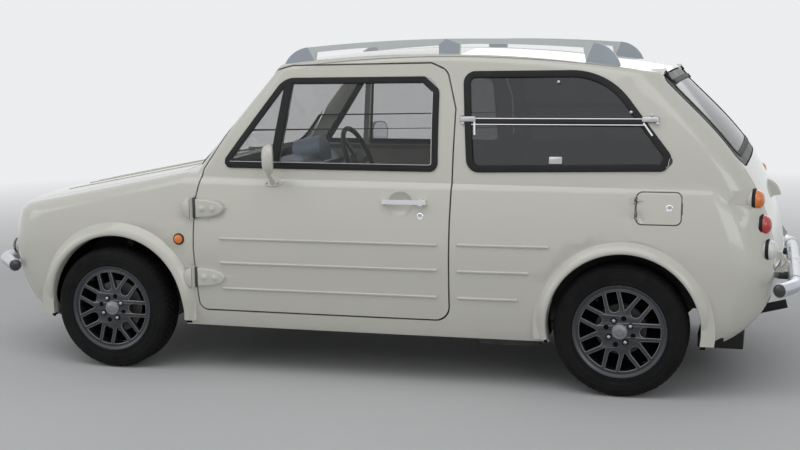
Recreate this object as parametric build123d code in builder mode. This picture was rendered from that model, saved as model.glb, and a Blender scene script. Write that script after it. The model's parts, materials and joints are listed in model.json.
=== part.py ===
from build123d import *
from math import atan2, cos, degrees, radians, sin, tan
import os

# Compact hatchback, millimetres. +X runs to the tail, +Y to the car's right side, +Z up.
# The origin lies on the ground, midway between the bumpers.

# Overall sizes
overall_length = 3740
overall_height = 1475
wheelbase = 2300
front_track = 1364
rear_track = 1350
shut_gap = 7          # between an opening panel and what it closes
seat_gap = 0.3        # between pieces that bear on each other without touching
pin_gap = 0.3         # round a hinge pin

# Wheels
tyre_radius = 277
tyre_width = 164
tread_width = 126
rim_radius = 195      # flange
bead_radius = 178
rim_width = 140
rim_wall = 7
spoke_pairs = 7
spoke_offset = 31     # of each spoke of a pair from the pair's own line
spoke_width = 16
spoke_depth = 26
hub_disc_radius = 85
cap_radius = 34
wheel_bolt_circle = 100
wheel_bolt_count = 4
wheel_bolt_hole_r = 6.5
rim_face_inset = 14   # of the spokes' face from the tyre's outer side

# Arches
front_arch_radius = 332
front_arch_shift = 32       # rearwards of the axle
front_arch_height = 283
front_well_radius = 345     # inside the flare, for the steered tyre
front_well_shift = 18
rear_arch_radius = 314
rear_arch_shift = 12
rear_arch_height = 288
flare_width = 56
flare_reach = 785           # half the width of the car over its flares
flare_thickness = 20

# Body walls
wall = 40
roof_wall = 30
bonnet_wall = 18
glass_inset = 4
glass_thickness = 5

front_axle_x = -wheelbase / 2
rear_axle_x = wheelbase / 2
nose_end = -overall_length / 2
tail_end = overall_length / 2
tyre_face_front = front_track / 2 + tyre_width / 2
tyre_face_rear = rear_track / 2 + tyre_width / 2

# Plan outlines of the wide lower body: height, half width, nose, tail
lower_sections = (
    (215, 726, -1610, 1590),
    (340, 752, -1743, 1738),
    (500, 767, -1784, 1790),
    (640, 766, -1780, 1768),
    (760, 748, -1742, 1722),
    (960, 702, -1640, 1620),
)
lower_bows = (130, 22, 60)      # nose, side, tail
lower_corners = (190, 170)      # front and rear radius in plan

# Plan outlines of the narrower cabin: height, half width, front, rear
cabin_sections = (
    (560, 716, -1072, 1796),
    (821, 712, -879, 1728),
    (960, 696, -768, 1652),
    (1180, 645, -592, 1462),
    (1450, 585, -376, 1228),
)
cabin_bows = (75, 14, 45)
cabin_corners = (60, 120)

bonnet_rear_x = -830
cowl_x = -800
bonnet_top = 930
bonnet_slope = 0.19
belt_slope = 0.004
top_crown = 60                  # over the crown's own span
crown_span = 1800
roof_top = 1438
roof_crown = 68
roof_arch_radius = 5600
roof_peak_x = 300
shoulder_round = 75
roof_round = 40

# The sloping tail's own plane, in which the hatch is cut: y across, distance up the slope, height over it
tail_lean = degrees(atan2(cabin_sections[2][3] - cabin_sections[4][3], cabin_sections[4][0] - cabin_sections[2][0]))
tail_plane = Plane(
    origin=(cabin_sections[3][3], 0, cabin_sections[3][0]),
    x_dir=(0, 1, 0),
    z_dir=(cos(radians(tail_lean)), 0, sin(radians(tail_lean))),
)
tail_cut_depth = 130
hatch_low = -283
hatch_high = 208
hatch_thickness = 26
tailgate_low = 528
screen_gap = 3
pane_gap = 2

# Door hinges: pin, eyes and leaves
hinge_pillar_x = -775
hinge_x = -733
hinge_y = 775
hinge_heights = (755, 447)
hinge_height = 84
hinge_pin_radius = 4
eye_radius = 11
ear_height = 15
ear_gap = 1
leaf_thickness = 8

# Bonnet, hatch and tailgate hinges
bonnet_hinge_y = 220
bonnet_eye = 6
bonnet_pin = 2.5
hatch_hinge_y = 480
hatch_hinge_s = hatch_high + 18.5
hatch_hinge_n = -25
hatch_eye = 7
tailgate_hinge_x = 1806
tailgate_hinge_y = 460
tailgate_hinge_z = 536
tailgate_eye = 9

# Fuel flap and its hinge
flap_gap = 5
flap_thickness = 10
flap_pocket_depth = 14
flap_hinge_x = 1209.5
flap_hinge_y = 752
flap_hinge_lows = (742, 806)
flap_knuckle = 8
flap_barrel = 5
flap_pin = 2

# Pressed forms
strake_width = 12
strake_rise = 4
door_strake_heights = (617, 509, 393)
door_strake_start = -600
door_strake_end = 388
quarter_strake_x = 470
quarter_strakes = ((620, 863), (508, 776), (392, 730))      # height, end
gutter_height = 7
gutter_rise = 5
bonnet_rib_places = (-370, -170, -70, 70, 170, 370)
bonnet_rib_front = -1560
bonnet_rib_width = 10
bonnet_rib_rise = 3
plate_lamp_half = 62

# Door handle and the round cup behind it
handle_start = 144
handle_end = 340
handle_z = 795
handle_height = 20
handle_reach = 30
button_radius = 15
cup_x = 221
cup_radius = 55
cup_depth = 22

# Side repeaters
repeater_x = -799
repeater_z = 608
repeater_radius = 25
repeater_rise = 10

# Door outline in side view: x, z, corner radius
door_outline = (
    (-712, 293, 40),
    (-726, 562, 0),
    (-722, 785, 0),
    (-697, 912, 30),
    (-440, 1330, 60),
    (-305, 1364, 0),
    (328, 1371, 0),
    (397, 1340, 50),
    (441, 1182, 0),
    (431, 293, 60),
)
door_step = 5           # the door's inner part is this much smaller all round
door_skin = 20
door_depth = 62

# Side windows: x, z, corner radius
vent_window = (
    (-608, 934, 12),
    (-380, 930, 8),
    (-334, 1288, 8),
    (-345, 1296, 8),
    (-562, 1000, 20),
)
door_window = (
    (-350, 928, 10),
    (350, 925, 40),
    (372, 975, 20),
    (359, 1275, 30),
    (325, 1311, 20),
    (-256, 1304, 30),
    (-300, 1290, 12),
)
quarter_window = (
    (506, 970, 20),
    (560, 925, 30),
    (1319, 940, 12),
    (1354, 972, 20),
    (1162, 1217, 0),
    (1046, 1299, 40),
    (880, 1328, 0),
    (520, 1330, 30),
    (480, 1281, 20),
)
flap_bar_height = 1132
flap_bar_width = 16


def rounded_polygon(points):
    """A closed face on the current plane from x, z and corner radius rows."""
    with BuildSketch() as face:
        with BuildLine():
            Polyline(*[(x, z) for x, z, _ in points], close=True)
        make_face()
        for x, z, radius in points:
            if radius:
                corner = face.vertices().sort_by_distance((x, z, 0))[0]
                fillet(corner, radius=radius)
    return face.sketch


def side_prism(points, near, far, grow=0):
    """A side view outline carried from y = near to y = far."""
    with BuildPart() as prism:
        with BuildSketch(Plane.XZ.offset(-near)):
            add(rounded_polygon(points))
            if grow:
                offset(amount=grow)
        extrude(amount=near - far)
    return prism.part


def plan_outline(height, half_width, nose, tail, bows, corners):
    nose_bow, side_bow, tail_bow = bows
    front_radius, rear_radius = corners
    front_x = nose + nose_bow
    rear_x = tail - tail_bow
    corner_y = half_width - side_bow
    middle_x = (nose + tail) / 2
    with BuildSketch(Plane.XY.offset(height)) as outline:
        with BuildLine():
            ThreePointArc((front_x, -corner_y), (nose, 0), (front_x, corner_y))
            ThreePointArc((front_x, corner_y), (middle_x, half_width), (rear_x, corner_y))
            ThreePointArc((rear_x, corner_y), (tail, 0), (rear_x, -corner_y))
            ThreePointArc((rear_x, -corner_y), (middle_x, -half_width), (front_x, -corner_y))
        make_face()
        fillet(outline.vertices().group_by(Axis.X)[0], radius=front_radius)
        fillet(outline.vertices().group_by(Axis.X)[-1], radius=rear_radius)
    return outline.sketch


def lofted(sections, bows, corners, inset):
    with BuildPart() as volume:
        for height, half_width, nose, tail in sections:
            radii = (max(corners[0] - inset, 20), max(corners[1] - inset, 20))
            add(plan_outline(height, half_width - inset, nose + inset, tail - inset, bows, radii))
        loft()
    return volume.part


def crown_face(plane, top, crown, bottom):
    half = crown_span / 2
    with BuildSketch(plane) as face:
        with BuildLine():
            ThreePointArc((-half, top - crown), (0, top), (half, top - crown))
            Polyline((half, top - crown), (half, bottom), (-half, bottom), (-half, top - crown))
        make_face()
    return face.sketch


def lower_body(inset):
    """The wide lower body, cut off under the crowned bonnet and belt."""
    face = crown_face(Plane.YZ.offset(cowl_x), bonnet_top - inset, top_crown, 100)
    with BuildPart() as limit:
        extrude(face, amount=1200, dir=(-1, 0, -bonnet_slope))
        extrude(face, amount=2700, dir=(1, 0, -belt_slope))
    body = lofted(lower_sections, lower_bows, lower_corners, inset) & limit.part
    underside = lower_sections[0][0] + inset
    return body - box_between((-2000, -900, 0), (2000, 900, underside))


def cabin_body(inset):
    """The cabin and tail, cut off under the crowned roof."""
    with BuildPart() as limit:
        face = crown_face(Plane.YZ.offset(roof_peak_x), roof_top - inset, roof_crown, 400)
        turn_axis = Axis((roof_peak_x, 0, roof_top - roof_arch_radius), (0, 1, 0))
        revolve(face, axis=turn_axis, revolution_arc=18)
        revolve(face, axis=turn_axis, revolution_arc=-18)
    return lofted(cabin_sections, cabin_bows, cabin_corners, inset) & limit.part


def rim_edges(volume, low, high):
    """The edges round the top of a body, without those that cross it or run down it."""
    chosen = []
    for edge in volume.edges():
        middle = edge.center()
        outside = abs(middle.Y) > 560 or middle.X < -1500 or middle.X > 1200
        if low < middle.Z < high and outside and edge.bounding_box().size.Z < 260:
            chosen.append(edge)
    return chosen


def box_between(low, high):
    size = [b - a for a, b in zip(low, high)]
    centre = [(a + b) / 2 for a, b in zip(low, high)]
    return Pos(*centre) * Box(*size)


def save(piece, name):
    piece.label = name
    export_step(piece, f"parts/{name}.step")


def mirrored(piece):
    return piece.mirror(Plane.XZ)


def drum(x, z, radius, near, far):
    """A plain cylinder along Y, between two values of y."""
    with BuildPart() as solid:
        with BuildSketch(Plane.XZ.offset(-near)):
            with Locations((x, z)):
                Circle(radius)
        extrude(amount=near - far)
    return solid.part


def rear_prism(points, near, far, grow=0):
    """An outline in the view along X, as y and z, carried from x = near to x = far."""
    with BuildPart() as prism:
        with BuildSketch(Plane.YZ.offset(near)):
            add(rounded_polygon(points))
            if grow:
                offset(amount=grow)
        extrude(amount=far - near)
    return prism.part


def slope_prism(points, grow=0):
    """An outline of y and distance up the sloping tail, carried square to the tail."""
    with BuildPart() as prism:
        with BuildSketch(tail_plane.offset(-tail_cut_depth)):
            add(rounded_polygon(points))
            if grow:
                offset(amount=grow)
        extrude(amount=tail_cut_depth + 60)
    return prism.part


def both_sides(points):
    """Rows of y, height and radius for the right half, closed with their mirror image."""
    return tuple(points) + tuple((-y, z, radius) for y, z, radius in reversed(points))


def without(volume, *cutters):
    for cutter in cutters:
        volume = volume - cutter
    return volume


def rod(start, end, radius):
    """A straight round bar between two points."""
    line = Vector(*end) - Vector(*start)
    with BuildPart() as bar:
        with BuildSketch(Plane(origin=start, z_dir=line)):
            Circle(radius)
        extrude(amount=line.length)
    return bar.part


def tube(points, radius, corner):
    """A round bar along straight runs joined by arcs."""
    with BuildPart() as bar:
        with BuildLine() as path:
            FilletPolyline(*points, radius=corner)
        with BuildSketch(Plane(origin=path.line @ 0, z_dir=path.line % 0)):
            Circle(radius)
        sweep()
    return bar.part


def plan_prism(points, low, high):
    """An outline of x, y and corner radius seen from above, carried between two heights."""
    with BuildPart() as prism:
        with BuildSketch(Plane.XY.offset(low)):
            add(rounded_polygon(points))
        extrude(amount=high - low)
    return prism.part


def pair(piece):
    """A piece of the left side and its mirror image, as two solids of one node."""
    return Compound(children=[piece.solid(), mirrored(piece).solid()])


os.makedirs("parts", exist_ok=True)

# Body volumes
plain_lower = lower_body(0)
outer_lower = plain_lower.fillet(shoulder_round, rim_edges(plain_lower, 690, 960))
plain_cabin = cabin_body(0)
outer_cabin = plain_cabin.fillet(roof_round, rim_edges(plain_cabin, 1250, 1460))
outer = outer_lower + outer_cabin
inner_cabin = cabin_body(wall)
inner = lower_body(wall) + inner_cabin
shell = outer - inner


def skin_at(x, z):
    """Distance from the centre plane out to the body's side."""
    hits = outer.find_intersection_points(Axis((x, -1000, z), (0, 1, 0)))
    return max(abs(point.Y) for point, _ in hits)


# Openings through the shell
screen_outline = both_sides(((640, 925, 50), (548, 1342, 60)))
tailgate_outline = both_sides(((596, tailgate_low, 40), (608, 1010, 0)))
hatch_outline = both_sides(((606, hatch_low, 60), (532, hatch_high, 50)))
hatch_window = both_sides(((566, hatch_low + 45, 50), (500, hatch_high - 45, 40)))
screen_hole = rear_prism(screen_outline, cowl_x, -250, screen_gap)
hatch_hole = slope_prism(hatch_outline, shut_gap)
above_split = slope_prism(both_sides(((900, hatch_low - shut_gap, 0), (900, 400, 0))))
tailgate_hole = rear_prism(tailgate_outline, 1500, 1850, shut_gap) - above_split

front_arch = (front_axle_x + front_arch_shift, front_arch_height, front_arch_radius)
rear_arch = (rear_axle_x + rear_arch_shift, rear_arch_height, rear_arch_radius)
front_well = drum(front_axle_x + front_well_shift, front_arch_height, front_well_radius, -820, -445)
rear_well = drum(*rear_arch, -820, -640)

bonnet_half = 590
bonnet_low = 700

# Regions that the shell is parted into
roof_half = 538
roof_region = box_between((-480, -roof_half, 1290), (1320, roof_half, 1500))
cowl_region = box_between((bonnet_rear_x + shut_gap, -640, 780), (-560, 640, 932))
rear_floor_x = 780
rear_floor_z = 400
floor_sheet = 18
floor_region = box_between((hinge_pillar_x - 15, -690, 150), (1640, 690, 258))
rear_region = box_between((1560, -600, 150), (1900, 600, 523))
front_region = box_between((-1900, -bonnet_half, 150), (-1480, bonnet_half, bonnet_low - shut_gap))
side_region = box_between((hinge_pillar_x, -820, 150), (1900, 0, 1500))

# Side shells: pillars, cant rail, sill and rear quarter
flap_outline = ((1212, 724, 22), (1387, 724, 22), (1387, 848, 22), (1212, 848, 22))
tail_lamp_rows = (
    # height, apex x, y, radius
    (819, 1706, 660, 42),
    (719, 1736, 668, 42),
    (619, 1762, 676, 42),
)
lamp_depth = 60
with BuildPart() as lamp_holes:
    for height, apex, y, radius in tail_lamp_rows:
        add(Pos(apex - lamp_depth, -y, height) * Rot(0, 90, 0) * Cylinder(radius + 1, 2 * lamp_depth + 40))
door_hole = side_prism(door_outline, -450, -830, shut_gap)
side_shell = without(
    shell & side_region,
    door_hole,
    side_prism(quarter_window, -450, -830, pane_gap),
    hatch_hole,
    tailgate_hole,
    screen_hole,
    rear_well,
    front_well,
    floor_region,
    roof_region,
    rear_region,
    cowl_region,
    lamp_holes.part,
)


def flare(x, height, radius, low):
    """A raised lip round an arch on the left side, its back let into the fender."""
    outer_radius = radius + flare_width
    with BuildPart() as lip:
        with BuildSketch(Plane.XY.offset(height)):
            with BuildLine():
                Polyline(
                    (x + radius, -flare_reach + flare_thickness + 12),
                    (x + radius, -flare_reach + 5),
                    (x + radius + 6, -flare_reach),
                    (x + radius + 16, -flare_reach),
                    (x + outer_radius, -flare_reach + 22),
                    (x + outer_radius, -flare_reach + flare_thickness + 12),
                    close=True,
                )
            make_face()
        revolve(axis=Axis((x, 0, height), (0, 1, 0)))
    return lip.part - box_between((x - 500, -820, -200), (x + 500, -700, low))


rear_flare = flare(*rear_arch, 232) - door_hole
front_flare = flare(*front_arch, 240) - door_hole
side_shell = side_shell + (front_flare & side_region) + rear_flare

# External door hinges: a forked pad on the body with its pin, and an eye with its leaf on the door
raised_skin = lower_body(-leaf_thickness)
hinge_pads = []
hinge_leaves = []
leaf_start = hinge_x + eye_radius + 5
for height in hinge_heights:
    skin_y = skin_at(hinge_x, height)
    low = height - hinge_height / 2
    high = height + hinge_height / 2
    pad_outline = (
        (hinge_pillar_x + 7, -skin_y + 14, 0),
        (hinge_pillar_x + 9, -skin_y - 8, 12),
        (hinge_x - 22, -hinge_y - eye_radius, 6),
        (hinge_x - 15, -hinge_y - eye_radius, 0),
        (hinge_x - 15, -skin_y + 14, 0),
    )
    ear_outline = (
        (hinge_x - 16, -skin_y + 14, 0),
        (hinge_x - 16, -hinge_y - eye_radius, 0),
        (hinge_x, -hinge_y - eye_radius, 0),
        (hinge_x, -hinge_y + eye_radius, 0),
        (hinge_x - 6, -skin_y + 14, 0),
    )
    pad = plan_prism(pad_outline, low, high)
    for ear_low, ear_high in ((low, low + ear_height), (high - ear_height, high)):
        pad = pad + plan_prism(ear_outline, ear_low, ear_high)
        pad = pad + Pos(hinge_x, -hinge_y, (ear_low + ear_high) / 2) * Cylinder(eye_radius, ear_high - ear_low)
    side_rows = (
        (hinge_pillar_x + 5, low, 26),
        (hinge_x + 30, low, 0),
        (hinge_x + 30, high, 0),
        (hinge_pillar_x + 5, high, 26),
    )
    pad = pad & side_prism(side_rows, -skin_y + 40, -830)
    hinge_pads.append(pad + Pos(hinge_x, -hinge_y, height) * Cylinder(hinge_pin_radius, hinge_height))
    eye_height = hinge_height - 2 * (ear_height + ear_gap)
    leaf_rows = (
        (leaf_start, low + 2, 6),
        (hinge_x + 82, low + 2, 40),
        (hinge_x + 150, height - 20, 20),
        (hinge_x + 150, height + 20, 20),
        (hinge_x + 82, high - 2, 40),
        (leaf_start, high - 2, 6),
    )
    leaf = raised_skin & side_prism(leaf_rows, -skin_y + 24, -830)
    arm_outline = (
        (hinge_x, -hinge_y + eye_radius, 0),
        (hinge_x, -hinge_y - eye_radius, 0),
        (hinge_x + 14, -hinge_y - eye_radius, 20),
        (hinge_x + 70, -skin_y - leaf_thickness, 0),
        (hinge_x + 70, -skin_y + 10, 0),
        (hinge_x + 30, -skin_y + 10, 0),
    )
    arm = plan_prism(arm_outline, height - eye_height / 2, height + eye_height / 2)
    eye = arm + Pos(hinge_x, -hinge_y, height) * Cylinder(eye_radius, eye_height)
    leaf = leaf + eye - Pos(hinge_x, -hinge_y, height) * Cylinder(hinge_pin_radius + pin_gap, hinge_height)
    hinge_leaves.append(leaf)
for pad in hinge_pads:
    side_shell = side_shell + pad

# Pressed strakes along the sides, and the gutter over the windows
strake_skin = lower_body(-strake_rise)


def strake(start_x, end_x, height):
    half = strake_width / 2
    rows = (
        (start_x, height - half, half - 1),
        (end_x, height - half, half - 1),
        (end_x, height + half, half - 1),
        (start_x, height + half, half - 1),
    )
    return strake_skin & side_prism(rows, -740, -830)


for height, end_x in quarter_strakes:
    side_shell = side_shell + strake(quarter_strake_x, end_x, height)
with BuildPart() as gutter_band:
    with BuildSketch(Plane.XZ.offset(540)):
        with BuildLine():
            top_arc = ThreePointArc((-380, 1360), (440, 1408), (1196, 1346))
            low_arc = ThreePointArc((-380, 1360 - gutter_height), (440, 1408 - gutter_height), (1196, 1346 - gutter_height))
            Line(top_arc @ 0, low_arc @ 0)
            Line(top_arc @ 1, low_arc @ 1)
        make_face()
    extrude(amount=200)
gutter = (Pos(0, -gutter_rise, 0) * outer_cabin) & gutter_band.part
side_shell = side_shell + without(gutter, inner, door_hole)
save(mirrored(side_shell), "side_shell_right")

# Fuel flap in its pocket, on the left side only
flap_pocket = side_prism(flap_outline, -600, -830, flap_gap)
side_left = side_shell - ((outer - lower_body(flap_pocket_depth)) & flap_pocket)
flap = (outer - lower_body(flap_thickness)) & side_prism(flap_outline, -600, -830)
for low in flap_hinge_lows:
    high = low + 3 * flap_knuckle
    skin_y = skin_at(flap_hinge_x, (low + high) / 2)
    body_arm = box_between((flap_hinge_x - 24, -flap_hinge_y - 3, low), (flap_hinge_x, -skin_y + 14, high))
    flap_arm = box_between((flap_hinge_x, -flap_hinge_y - 3, low), (flap_hinge_x + 24, -skin_y + 6, high))
    middle = box_between((flap_hinge_x - 6, -800, low + flap_knuckle), (flap_hinge_x + 6, -700, high - flap_knuckle))
    barrel = Pos(flap_hinge_x, -flap_hinge_y, low + 1.5 * flap_knuckle) * Cylinder(flap_barrel, 3 * flap_knuckle)
    pin = Pos(flap_hinge_x, -flap_hinge_y, low + 1.5 * flap_knuckle) * Cylinder(flap_pin, 3 * flap_knuckle)
    bore = Pos(flap_hinge_x, -flap_hinge_y, low + 1.5 * flap_knuckle) * Cylinder(flap_pin + pin_gap, 3 * flap_knuckle)
    knuckle_low = low + flap_knuckle + ear_gap
    knuckle_high = high - flap_knuckle - ear_gap
    flap_knuckle_zone = box_between((1000, -830, knuckle_low), (1400, -600, knuckle_high))
    side_left = side_left + without(body_arm + barrel, middle) + pin
    flap = flap + ((flap_arm + barrel) & flap_knuckle_zone) - bore
save(side_left, "side_shell_left")
save(flap, "fuel_flap")

# Front fenders
fender = without(
    shell & box_between((-1900, -820, 150), (hinge_pillar_x, -bonnet_half, 1000)),
    front_well,
    cowl_region,
)
fender = fender + (front_flare - side_region)
save(pair(fender), "front_fenders")
repeater_face = skin_at(repeater_x, repeater_z) + 6
repeater_lens = Pos(repeater_x, -repeater_face - repeater_rise / 2, repeater_z) * Rot(90, 0, 0) * Cone(
    repeater_radius, 0.5 * repeater_radius, repeater_rise
)
repeater = drum(repeater_x, repeater_z, repeater_radius, -repeater_face, -repeater_face + 20) + repeater_lens - outer

# Nose panel
headlamp_y = 492
headlamp_z = 608
headlamp_radius = 79
grille_outline = both_sides(((345, 596, 40), (345, 686, 40)))
intake_outline = both_sides(((420, 330, 25), (420, 385, 25)))
with BuildPart() as headlamp_holes:
    for y in (-headlamp_y, headlamp_y):
        add(Pos(-1720, y, headlamp_z) * Rot(0, 90, 0) * Cylinder(headlamp_radius, 260))
nose = without(
    shell & front_region,
    rear_prism(grille_outline, -1900, -1600),
    rear_prism(intake_outline, -1900, -1500),
    box_between((-1560, -445, 150), (-1400, 445, 300)),
)
save(nose - headlamp_holes.part, "nose_panel")

# Cowl, floor and rear panel
cowl = without(shell & cowl_region, screen_hole)

# Bonnet hinges: eyes on the cowl with a pin, one eye between them on the bonnet
bonnet_block = box_between((-1900, -bonnet_half + shut_gap, bonnet_low), (bonnet_rear_x, bonnet_half - shut_gap, 1000))
bonnet = (outer & bonnet_block) - lower_body(bonnet_wall)
rib_skin = lower_body(-bonnet_rib_rise) - lower_body(bonnet_wall)
for y in bonnet_rib_places:
    rib_strip = box_between((bonnet_rib_front, y - bonnet_rib_width / 2, 600), (-850, y + bonnet_rib_width / 2, 1000))
    bonnet = bonnet + (rib_skin & rib_strip)
bonnet_hinge_x = bonnet_rear_x + shut_gap / 2
bonnet_hinge_z = bonnet_top - bonnet_slope * (cowl_x - bonnet_hinge_x) + 1
for y in (-bonnet_hinge_y, bonnet_hinge_y):
    notch = drum(bonnet_hinge_x, bonnet_hinge_z, bonnet_eye + 5, y - 31, y + 31)
    cowl = cowl - notch
    bonnet = bonnet - notch
    for near, far in ((y - 27, y - 12), (y + 12, y + 27)):
        cowl = cowl + drum(bonnet_hinge_x, bonnet_hinge_z, bonnet_eye, near, far)
        cowl = cowl + box_between((bonnet_hinge_x, near, bonnet_hinge_z - 5), (cowl_x + 6, far, bonnet_hinge_z + 1))
    cowl = cowl + drum(bonnet_hinge_x, bonnet_hinge_z, bonnet_pin, y - 27, y + 27)
    bonnet = bonnet + box_between(
        (bonnet_hinge_x - 30, y - 11, bonnet_hinge_z - 14), (bonnet_hinge_x - 3, y + 11, bonnet_hinge_z - 4)
    )
    bonnet = bonnet + drum(bonnet_hinge_x, bonnet_hinge_z, bonnet_eye, y - 11, y + 11)
    bonnet = bonnet - drum(bonnet_hinge_x, bonnet_hinge_z, bonnet_pin + pin_gap, y - 28, y + 28)
save(cowl, "cowl")
save(bonnet, "bonnet")

# Rear panel and tailgate, joined by two forked hinges
tailgate_ear = (
    (tailgate_hinge_x - 71, 500, 0),
    (tailgate_hinge_x - 14, 500, 6),
    (tailgate_hinge_x + 9, tailgate_hinge_z - 4, 0),
    (tailgate_hinge_x - 9, tailgate_hinge_z, 0),
    (tailgate_hinge_x - 22, 519, 0),
    (tailgate_hinge_x - 71, 519, 0),
)
tailgate_arm = (
    (tailgate_hinge_x - 7, tailgate_hinge_z - 6, 0),
    (tailgate_hinge_x + 8, tailgate_hinge_z, 0),
    (tailgate_hinge_x, tailgate_hinge_z + 12, 0),
    (tailgate_hinge_x - 26, tailgate_hinge_z + 49, 0),
    (tailgate_hinge_x - 66, tailgate_hinge_z + 49, 0),
    (tailgate_hinge_x - 66, tailgate_hinge_z + 20, 0),
    (tailgate_hinge_x - 20, tailgate_hinge_z + 16, 0),
)
rear_panel = without(shell & rear_region, tailgate_hole)
tailgate = (outer & rear_prism(tailgate_outline, 1500, 1850)) - inner - above_split
for y in (-tailgate_hinge_y, tailgate_hinge_y):
    for near, far in ((y - 17, y - 8), (y + 8, y + 17)):
        rear_panel = rear_panel + drum(tailgate_hinge_x, tailgate_hinge_z, tailgate_eye, near, far)
        rear_panel = rear_panel + side_prism(tailgate_ear, far, near)
    rear_panel = rear_panel + drum(tailgate_hinge_x, tailgate_hinge_z, hinge_pin_radius, y - 17, y + 17)
    tailgate = tailgate + drum(tailgate_hinge_x, tailgate_hinge_z, tailgate_eye, y - 7, y + 7)
    tailgate = tailgate + side_prism(tailgate_arm, y + 7, y - 7)
    tailgate = tailgate - drum(tailgate_hinge_x, tailgate_hinge_z, hinge_pin_radius + pin_gap, y - 18, y + 18)
with BuildPart() as plate_lamp:
    with BuildSketch(Plane.XZ.offset(-plate_lamp_half)):
        with BuildLine():
            ThreePointArc((1690, 846), (1752, 826), (1776, 775))
            Polyline((1776, 775), (1730, 768), (1690, 800), (1690, 846))
        make_face()
    extrude(amount=2 * plate_lamp_half)
    chamfer(plate_lamp.edges().filter_by(GeomType.CIRCLE), length=8)
save(rear_panel, "rear_panel")
save(tailgate + (plate_lamp.part - inner), "tailgate")

firewall_x = -705
apron_y = 437
apron_thickness = 6
floor = without(
    shell & floor_region,
    box_between((-900, -900, 0), (firewall_x - 15, 900, 400)),
    box_between((rear_floor_x, -900, 0), (1700, 900, 400)),
)
riser = inner & box_between((rear_floor_x - floor_sheet, -700, 200), (rear_floor_x, 700, rear_floor_z))
rear_floor = inner & box_between((rear_floor_x - floor_sheet, -700, rear_floor_z - floor_sheet), (1800, 700, rear_floor_z))
floor = floor + riser + rear_floor
well_gap = 16
tub_foot = 350              # above the axle tube
tub_radius = rear_arch_radius + well_gap
tub_solid = drum(rear_arch[0], rear_arch[1], tub_radius + 8, -800, -552) - drum(rear_arch[0], rear_arch[1], tub_radius, -830, -560)
tub_solid = tub_solid & inner & box_between((0, -900, tub_foot), (tail_end, 900, 1000))
firewall = inner & box_between((firewall_x - 15, -680, 100), (firewall_x, 680, 850))
aprons = box_between((-1600, -apron_y - apron_thickness, 330), (firewall_x - 15, -apron_y, 780)) & inner
floor = without(floor, drum(rear_arch[0], rear_arch[1], tub_radius, -800, -560), drum(rear_arch[0], rear_arch[1], tub_radius, 560, 800))
floor = floor + tub_solid + mirrored(tub_solid) + firewall + aprons + mirrored(aprons)
seat_y = 350
for y in (-seat_y, seat_y):
    floor = floor + box_between((-200, y - 180, 250), (400, y + 180, 300))
save(floor, "floor_pan")

# Roof
roof = without(shell & roof_region, screen_hole, hatch_hole)
save(roof, "roof_panel")

# Doors, with the hinge leaves, strakes and a dished handle cup
door_band = ((-830, 250, 0), (-690, 250, 0), (-690, 898, 0), (-651, 925, 0), (-562, 1375, 0), (-830, 1375, 0))
door = without(
    outer & side_prism(door_outline, -450, -830) & rear_prism(door_band, -900, 600),
    inner_cabin,
    side_prism(vent_window, -450, -830, pane_gap),
    side_prism(door_window, -450, -830, pane_gap),
)
for height in door_strake_heights:
    door = door + strake(door_strake_start, door_strake_end, height)
for leaf in hinge_leaves:
    door = door + leaf
handle_skin_y = skin_at(cup_x, handle_z)
cup_sphere = (cup_radius**2 + cup_depth**2) / (2 * cup_depth)
door = door - Pos(cup_x, -handle_skin_y - cup_sphere + cup_depth, handle_z) * Sphere(cup_sphere)
save(door, "door_left")
save(mirrored(door), "door_right")
strap_outline = (
    (handle_start, -handle_skin_y + 6, 0),
    (handle_start, -handle_skin_y - handle_reach, 12),
    (handle_end, -handle_skin_y - handle_reach, 12),
    (handle_end, -handle_skin_y + 6, 0),
    (handle_end - 44, -handle_skin_y + 6, 0),
    (handle_end - 44, -handle_skin_y - handle_reach + 7, 6),
    (handle_start + 18, -handle_skin_y - handle_reach + 7, 6),
    (handle_start + 18, -handle_skin_y + 6, 0),
)
strap = plan_prism(strap_outline, handle_z - handle_height / 2, handle_z + handle_height / 2)
button = drum(handle_end - 22, handle_z, button_radius, -handle_skin_y - handle_reach - 5, -handle_skin_y + 6)
handle = strap + button - outer
save(handle, "door_handle_left")
save(mirrored(handle), "door_handle_right")

# Glass
glass_volume = cabin_body(glass_inset) - cabin_body(glass_inset + glass_thickness)
glass_edge = pane_gap - seat_gap
panes = [(glass_volume & side_prism(pane, -450, -830, glass_edge)).solid() for pane in (vent_window, door_window)]
save(Compound(children=panes), "door_glass_left")
save(Compound(children=[mirrored(pane).solid() for pane in panes]), "door_glass_right")
bar_low = flap_bar_height - flap_bar_width / 2
bar_high = flap_bar_height + flap_bar_width / 2
quarter_hole = side_prism(quarter_window, -450, -830, glass_edge)
quarter_glass = (glass_volume & quarter_hole) - box_between((400, -900, bar_low), (1500, 0, bar_high))
quarter_panes = list(quarter_glass.solids()) + list(mirrored(quarter_glass).solids())
save(Compound(children=quarter_panes), "quarter_glass")
bar_box = box_between((400, -900, bar_low + seat_gap), (1500, 0, bar_high - seat_gap))
flap_bar = (cabin_body(-2) - cabin_body(glass_inset + glass_thickness + 5)) & quarter_hole & bar_box
save(pair(flap_bar), "flap_bars")
save(glass_volume & rear_prism(screen_outline, cowl_x, -250, screen_gap - seat_gap), "windscreen")

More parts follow.
